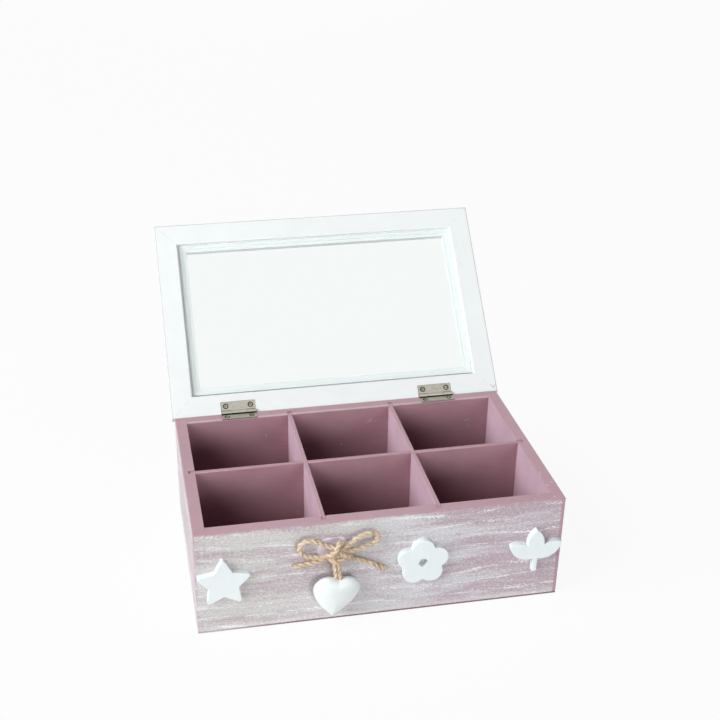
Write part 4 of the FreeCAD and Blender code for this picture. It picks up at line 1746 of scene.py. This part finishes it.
@dataclass
class Bow:
    """Jute bow on the front: glue pad, two loops, tails and knot."""

    anchor: Point = (-30.5, -74.0, 55.0)
    left_loop: tuple[Point, ...] = (
        (-6.0, 6.2, 7.2), (-11.0, 5.8, 10.3), (-16.6, 5.0, 12.2), (-21.8, 4.3, 11.0), (-24.4, 4.0, 7.0),
        (-23.2, 4.0, 2.2), (-18.8, 4.4, -0.4), (-13.4, 5.0, -1.3), (-9.0, 5.8, -0.9), (-6.0, 6.2, 0.2))
    right_loop: tuple[Point, ...] = (
        (6.4, 6.2, 2.0), (10.2, 5.9, 2.6), (15.2, 5.2, 3.4), (20.6, 4.6, 4.4), (25.2, 4.3, 6.4),
        (26.4, 4.2, 10.4), (23.0, 4.3, 13.3), (17.4, 4.8, 12.7), (12.0, 5.4, 10.1), (8.6, 5.9, 7.6),
        (6.4, 6.2, 6.0))
    tails: tuple[Point, ...] = (
        (-27.0, 2.2, -8.6), (-20.9, 2.0, -7.9), (-15.0, 2.1, -7.3), (-9.2, 2.1, -6.0), (-3.6, 2.1, -2.8),
        (1.8, 2.1, -1.2), (6.9, 2.1, -4.3), (12.0, 2.3, -7.2), (17.1, 2.7, -9.2), (22.4, 2.9, -11.3),
        (27.6, 2.6, -14.7), (32.4, 2.2, -18.4))
    knot_runs: tuple[tuple[Point, ...], ...] = (
        ((-6.6, 5.2, -0.6), (-5.0, 7.4, 0.8), (-2.8, 9.0, 3.8), (-0.8, 9.6, 7.2), (0.9, 8.0, 10.4),
         (2.8, 5.8, 9.0), (2.9, 4.4, 5.4)),
        ((-7.4, 5.8, 7.8), (-3.6, 7.0, 6.8), (0.2, 7.8, 4.2), (3.2, 8.6, 1.8), (5.6, 7.4, -0.6),
         (8.4, 4.4, -3.4)),
        ((8.2, 6.0, 2.6), (5.0, 7.2, 3.0), (2.2, 7.4, 4.2), (-0.8, 6.4, 4.0)),
        ((8.2, 6.0, 7.2), (4.8, 7.2, 5.8), (1.6, 6.8, 5.4), (-1.4, 5.8, 4.6)),
        ((-6.2, 5.0, -1.6), (-3.4, 8.0, -3.4), (0.6, 8.9, -3.6), (3.8, 7.8, -2.2), (6.0, 5.2, 0.4)),
        ((-4.4, 5.2, 0.2), (-1.8, 6.6, -0.6), (1.4, 6.8, -0.4), (4.4, 5.4, 0.6)))
    turn_per_run: float = 0.9
    fray: float = 12.0 * MM
    pad_middle: tuple[float, float] = (-2.4, 3.2)
    pad_size: tuple[float, float] = (19.0, 14.5)
    pad_thickness: float = 0.7
    pad_outline: tuple[tuple[float, float], ...] = (
        (-0.50, -0.10), (-0.42, 0.22), (-0.28, 0.40), (0.08, 0.43), (0.36, 0.40), (0.50, 0.12),
        (0.40, -0.32), (0.02, -0.50), (-0.42, -0.42))
    pad_steps: int = 8
    pad_power: float = 9.0
    pad_rings: int = 24

    def place(self, point: Point) -> Point:
        """A bow point as a place in the row frame, in metres."""
        x, y, z = self.anchor
        return ((x + point[0]) * MM, (y - point[1]) * MM, (z + point[2]) * MM)

    def cord(self, node: str, route: Sequence[Point], far_end: FarEnd, body: Body, twine: TwoPly,
             fray: float = 0.0, lay: Lay = Lay.LOOSE) -> None:
        """Args:
            node: CAD node that it replaces.
            route: Its route in bow points.
            far_end: What its far end is; not used.
            body: Body that it rides on.
            twine: Twine to lay.
            fray: Length of the loosened far end.
            lay: How it lies; not used.
        """
        line = nurbs_line(node, [self.place(point) for point in route])
        shape = bmesh.new()
        twine.lay(shape, line, twine.first_turn, fray)
        twine.fuzz(shape, line, Random(node))
        if fray:
            twine.wisp(shape, line, fray, Random(node + " end"))
        smooth_all(shape)
        piece = add_piece(node + "_twine", shape, JUTE, body, node)
        tuple(line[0])
        lengths_along(line)[-1]
        [tuple(point) for point in line]

    def knot(self) -> None:
        """Makes the knot from its crossing runs of twine."""
        twine = TwoPly()
        shape = bmesh.new()
        for index, run in enumerate(self.knot_runs):
            line = nurbs_line("knot_run", [self.place(point) for point in run])
            twine.lay(shape, line, self.turn_per_run * index)
            twine.fuzz(shape, line, Random(f"knot {index}"))
        smooth_all(shape)
        add_piece("bow_knot_twine", shape, JUTE, Body.BOX, "bow_knot")

    def pad(self) -> None:
        """Makes the blob of glue behind the knot."""
        middle = Vector(self.place((self.pad_middle[0], 0.0, self.pad_middle[1])))
        wide, high = self.pad_size
        points = [Vector((wide * u, high * v)) * MM for u, v in self.pad_outline]
        shape = puffed(closed_curve(points, self.pad_steps), Vector((0.0, 0.0)), self.pad_thickness * MM,
                       self.pad_power, self.pad_rings, flat_back=True)
        bmesh.ops.translate(shape, verts=shape.verts, vec=middle)
        add_piece("bow_glue_blob", shape, GLUE, Body.BOX, "bow_glue_pad")

    def build(self) -> None:
        """Makes the whole bow."""
        self.pad()
        self.cord("bow_left_loop", self.left_loop, FarEnd.OBJECT, Body.BOX, TwoPly())
        self.cord("bow_right_loop", self.right_loop, FarEnd.OBJECT, Body.BOX, TwoPly())
        self.cord("bow_tails", self.tails, FarEnd.BARE, Body.BOX, TwoPly(), fray=self.fray)
        self.knot()


def smooth_all(shape: Shape) -> None:
    """Turns the faces outwards and shades them smooth.

    Args:
        shape: Shape to turn and shade.
    """
    bmesh.ops.recalc_face_normals(shape, faces=shape.faces)
    for face in shape.faces:
        face.smooth = True


def closed_curve(points: Sequence[Vector], per_span: int, corners: Sequence[int] = ()) -> list[Vector]:
    """Smooth closed outline through points.

    Args:
        points: Points in order, two numbers each.
        per_span: Steps from each point to the next.
        corners: Indexes of points where the outline has a corner.

    Returns:
        The outline's points, from the first one on.
    """
    count = len(points)
    result = []
    for index in range(count):
        start, end = points[index], points[(index + 1) % count]
        before = start if index in corners else points[index - 1]
        after = end if (index + 1) % count in corners else points[(index + 2) % count]
        for step in range(per_span):
            t = step / per_span
            lead = (end - before) * 0.5
            trail = (after - start) * 0.5
            square, cube = t ** 2, t ** 3
            blend = (2 * cube - 3 * square + 1, cube - 2 * square + t, 3 * square - 2 * cube, cube - square)
            result.append(start * blend[0] + lead * blend[1] + end * blend[2] + trail * blend[3])
    return result


def rounded_off(outline: Sequence[Vector], passes: int) -> list[Vector]:
    """The outline with its corners worn down, more with each pass.

    Args:
        outline: The outline's points.
        passes: Count of passes.

    Returns:
        The new points.
    """
    worn = list(outline)
    for _ in range(passes):
        after = worn[1:] + worn[:1]
        worn = [(worn[index - 1] + here + after[index]) / 3 for index, here in enumerate(worn)]
    return worn


def puffed(outline: Sequence[Vector], middle: Vector, depth: float, power: float, rings: int,
           flat_back: bool = False, soften: int = 0) -> Shape:
    """Puffed cushion-like body on an outline in the X, Z plane.

    Args:
        outline: The outline's points.
        middle: Point that the faces draw in towards.
        depth: How far the body stands out each way from the outline's plane.
        power: Roundness: 2 is an ellipse, more is fuller.
        rings: Rings from pole to pole.
        flat_back: True where the back stays in the outline's plane.
        soften: Reach in points of the rounding that the faces' inner parts have against the outline.

    Returns:
        The new shape, its front towards -Y.
    """
    rounded = rounded_off(outline, soften)
    shape = bmesh.new()
    bmesh.ops.create_uvsphere(shape, u_segments=len(outline), v_segments=rings, radius=1.0)
    for vert in shape.verts:
        sine = max(-1.0, min(1.0, vert.co.z))
        spread = max(0.0, 1 - sine * sine) ** (1 / power)
        out = math.copysign(abs(sine) ** (2 / power), sine)
        turn = math.atan2(vert.co.y, vert.co.x) % (2 * math.pi)
        index = round(turn / (2 * math.pi) * len(outline)) % len(outline)
        edge = rounded[index].lerp(outline[index], spread ** EDGE_HOLD)
        flat = middle + (edge - middle) * spread
        vert.co = Vector((flat.x, 0.0 if flat_back and out < 0 else -depth * out, flat.y))
    smooth_all(shape)
    return shape


@dataclass
class Pendant:
    """White heart and the twine that it hangs by."""

    hanger: tuple[Point, ...] = (
        (-0.8, 6.5, -20.0), (-1.5, 6.6, -12.5), (-2.6, 6.7, -5.0), (-2.8, 6.5, 1.5),
        (0.2, 6.5, 1.5), (0.2, 6.7, -5.0), (1.0, 6.6, -12.5), (1.6, 6.5, -20.0))
    drawn_out: float = 2.9 * MM
    width: float = 30.4
    height: float = 28.7
    thickness: float = 11.0
    notch: Point = (0.6, 6.5, -18.6)
    tilt: float = 4.2
    lean: float = 0.09
    puff_power: float = 2.3
    notch_share: float = 0.05
    half_shares: tuple[tuple[float, float], ...] = (
        (0.20, 0.020), (0.46, 0.0), (0.84, 0.085), (1.0, 0.315), (0.70, 0.665), (0.09, 0.975))
    centre_share: float = 0.40
    soften: int = 60
    outline_rounding: int = 6
    steps: int = 9
    rings: int = 48

    def outline(self) -> list[Vector]:
        """The heart's outline from its notch, in metres.

        Returns:
            The outline's points, two numbers each.
        """
        half = self.width / 2
        right = [Vector((u * half, -v * self.height)) for u, v in self.half_shares]
        left = [Vector((-point.x, point.y)) for point in reversed(right)]
        notch = Vector((0.0, -self.notch_share * self.height))
        points = [notch, *right, Vector((0.0, -self.height)), *left]
        for point in points:
            point.x += self.lean * (point.y - notch.y)
        curve = [point * MM for point in closed_curve(points, self.steps, corners=(0,))]
        return curve[:1] + rounded_off(curve, self.outline_rounding)[1:]

    def heart(self, bow: Bow) -> None:
        """Makes the puffed heart.

        Args:
            bow: The bow that it hangs from.
        """
        fall = (self.centre_share - self.notch_share) * self.height
        middle = Vector((-self.lean * fall, -self.centre_share * self.height)) * MM
        shape = puffed(self.outline(), middle, self.thickness / 2 * MM, self.puff_power, self.rings,
                       soften=self.soften)
        lift = Vector((0.0, 0.0, self.notch_share * self.height * MM))
        hang = Matrix.Translation(-lift)
        tilted = hang @ Matrix.Rotation(math.radians(self.tilt), 4, "Y") @ hang.inverted()
        place = Matrix.Translation(Vector(bow.place(self.notch)) + lift)
        bmesh.ops.transform(shape, matrix=place @ tilted, verts=shape.verts)
        add_piece("heart_body", shape, RESIN, Body.PENDANT, "heart_pendant")

    def build(self, bow: Bow) -> None:
        """Makes the hanger and the heart.

        Args:
            bow: The bow that they hang from.
        """
        twine = TwoPly(diameter=self.drawn_out)
        bow.cord("heart_hanger", self.hanger, FarEnd.OBJECT, Body.PENDANT, twine, lay=Lay.HANGING)
        self.heart(bow)


@dataclass
class Studio:
    """Floor, lamps, world and camera."""

    camera_place: Point = (-151.041, -680.711, 502.064)
    azimuth: float = -10.217
    elevation: float = 28.023
    sensor: float = 36.0
    lens: float = 59.92
    shift: tuple[float, float] = (0.05769, 0.0337)
    clip: tuple[float, float] = (0.01, 50.0)
    floor_half: float = 6.0
    floor_drop: float = 0.1 * MM
    ambient: float = 0.07
    sky: Colour = (0.97, 0.98, 1.0, 1.0)
    target: Point = (0.0, 0.0, 60.0)
    lamps: tuple[tuple[str, Point, float, float, Colour], ...] = (
        ("key", (-3190.0, -1055.0, 2335.0), 3.6, 210.0, (0.96, 0.985, 1.0, 1.0)),
        ("fill", (1100.0, -3760.0, 760.0), 1.6, 54.0, WHITE),
        ("back", (500.0, 3700.0, 320.0), 1.2, 44.0, WHITE))

    def camera(self) -> None:
        """Sets the camera at the photograph's place."""
        data = bpy.data.cameras.new("camera")
        data.sensor_width = self.sensor
        data.lens = self.lens
        data.shift_x, data.shift_y = self.shift
        data.clip_start, data.clip_end = self.clip
        turn, rise = math.radians(self.azimuth), math.radians(self.elevation)
        back = Vector((math.sin(turn) * math.cos(rise), -math.cos(turn) * math.cos(rise), math.sin(rise)))
        right = Vector((math.cos(turn), math.sin(turn), 0.0))
        look = Matrix((right, back.cross(right), back)).transposed().to_4x4()
        holder = add_object("camera", data)
        holder.matrix_world = Matrix.Translation(Vector(self.camera_place) * MM) @ look
        bpy.context.scene.camera = holder

    def light(self) -> None:
        """Sets the soft lamps and the even world."""
        for name, place, size, power, colour in self.lamps:
            data = bpy.data.lights.new(name, "AREA")
            data.shape = "DISK"
            data.size = size
            data.energy = power
            data.color = colour[:3]
            aim = (Vector(self.target) - Vector(place)) * MM
            turn = aim.to_track_quat("-Z", "Y").to_matrix().to_4x4()
            add_object(name, data).matrix_world = Matrix.Translation(Vector(place) * MM) @ turn
        world = bpy.data.worlds.new("even_world")
        world.use_nodes = True
        world.node_tree.nodes.clear()
        graph = Graph(world.node_tree)
        seen = graph.add("Background", WHITE, 1.0).outputs[0]
        lit = graph.add("Background", self.sky, self.ambient).outputs[0]
        graph.add("OutputWorld", graph.mix_shaders(seen_ray(graph), lit, seen))
        bpy.context.scene.world = world
        bpy.context.scene.view_settings.view_transform = "Standard"

    def floor(self) -> None:
        """Lays the plain floor."""
        shape = bmesh.new()
        bmesh.ops.create_grid(shape, x_segments=1, y_segments=1, size=self.floor_half)
        bmesh.ops.translate(shape, verts=shape.verts, vec=(0.0, 0.0, -self.floor_drop))
        add_mesh("floor", shape, FLOOR)

    def build(self) -> None:
        """Makes the whole studio."""
        self.camera()
        self.light()
        self.floor()


def main() -> None:
    """Builds the object and the studio in order."""
    logging.basicConfig(level=logging.INFO, format="%(name)s %(message)s")
    Studio().build()
    bow = Bow()
    bow.build()
    Pendant().build(bow)
    Carcass().build()
    Dividers().build()
    Lid().build()
    Hinges().build()
    Ornaments().build()


if __name__ == "__main__":
    main()
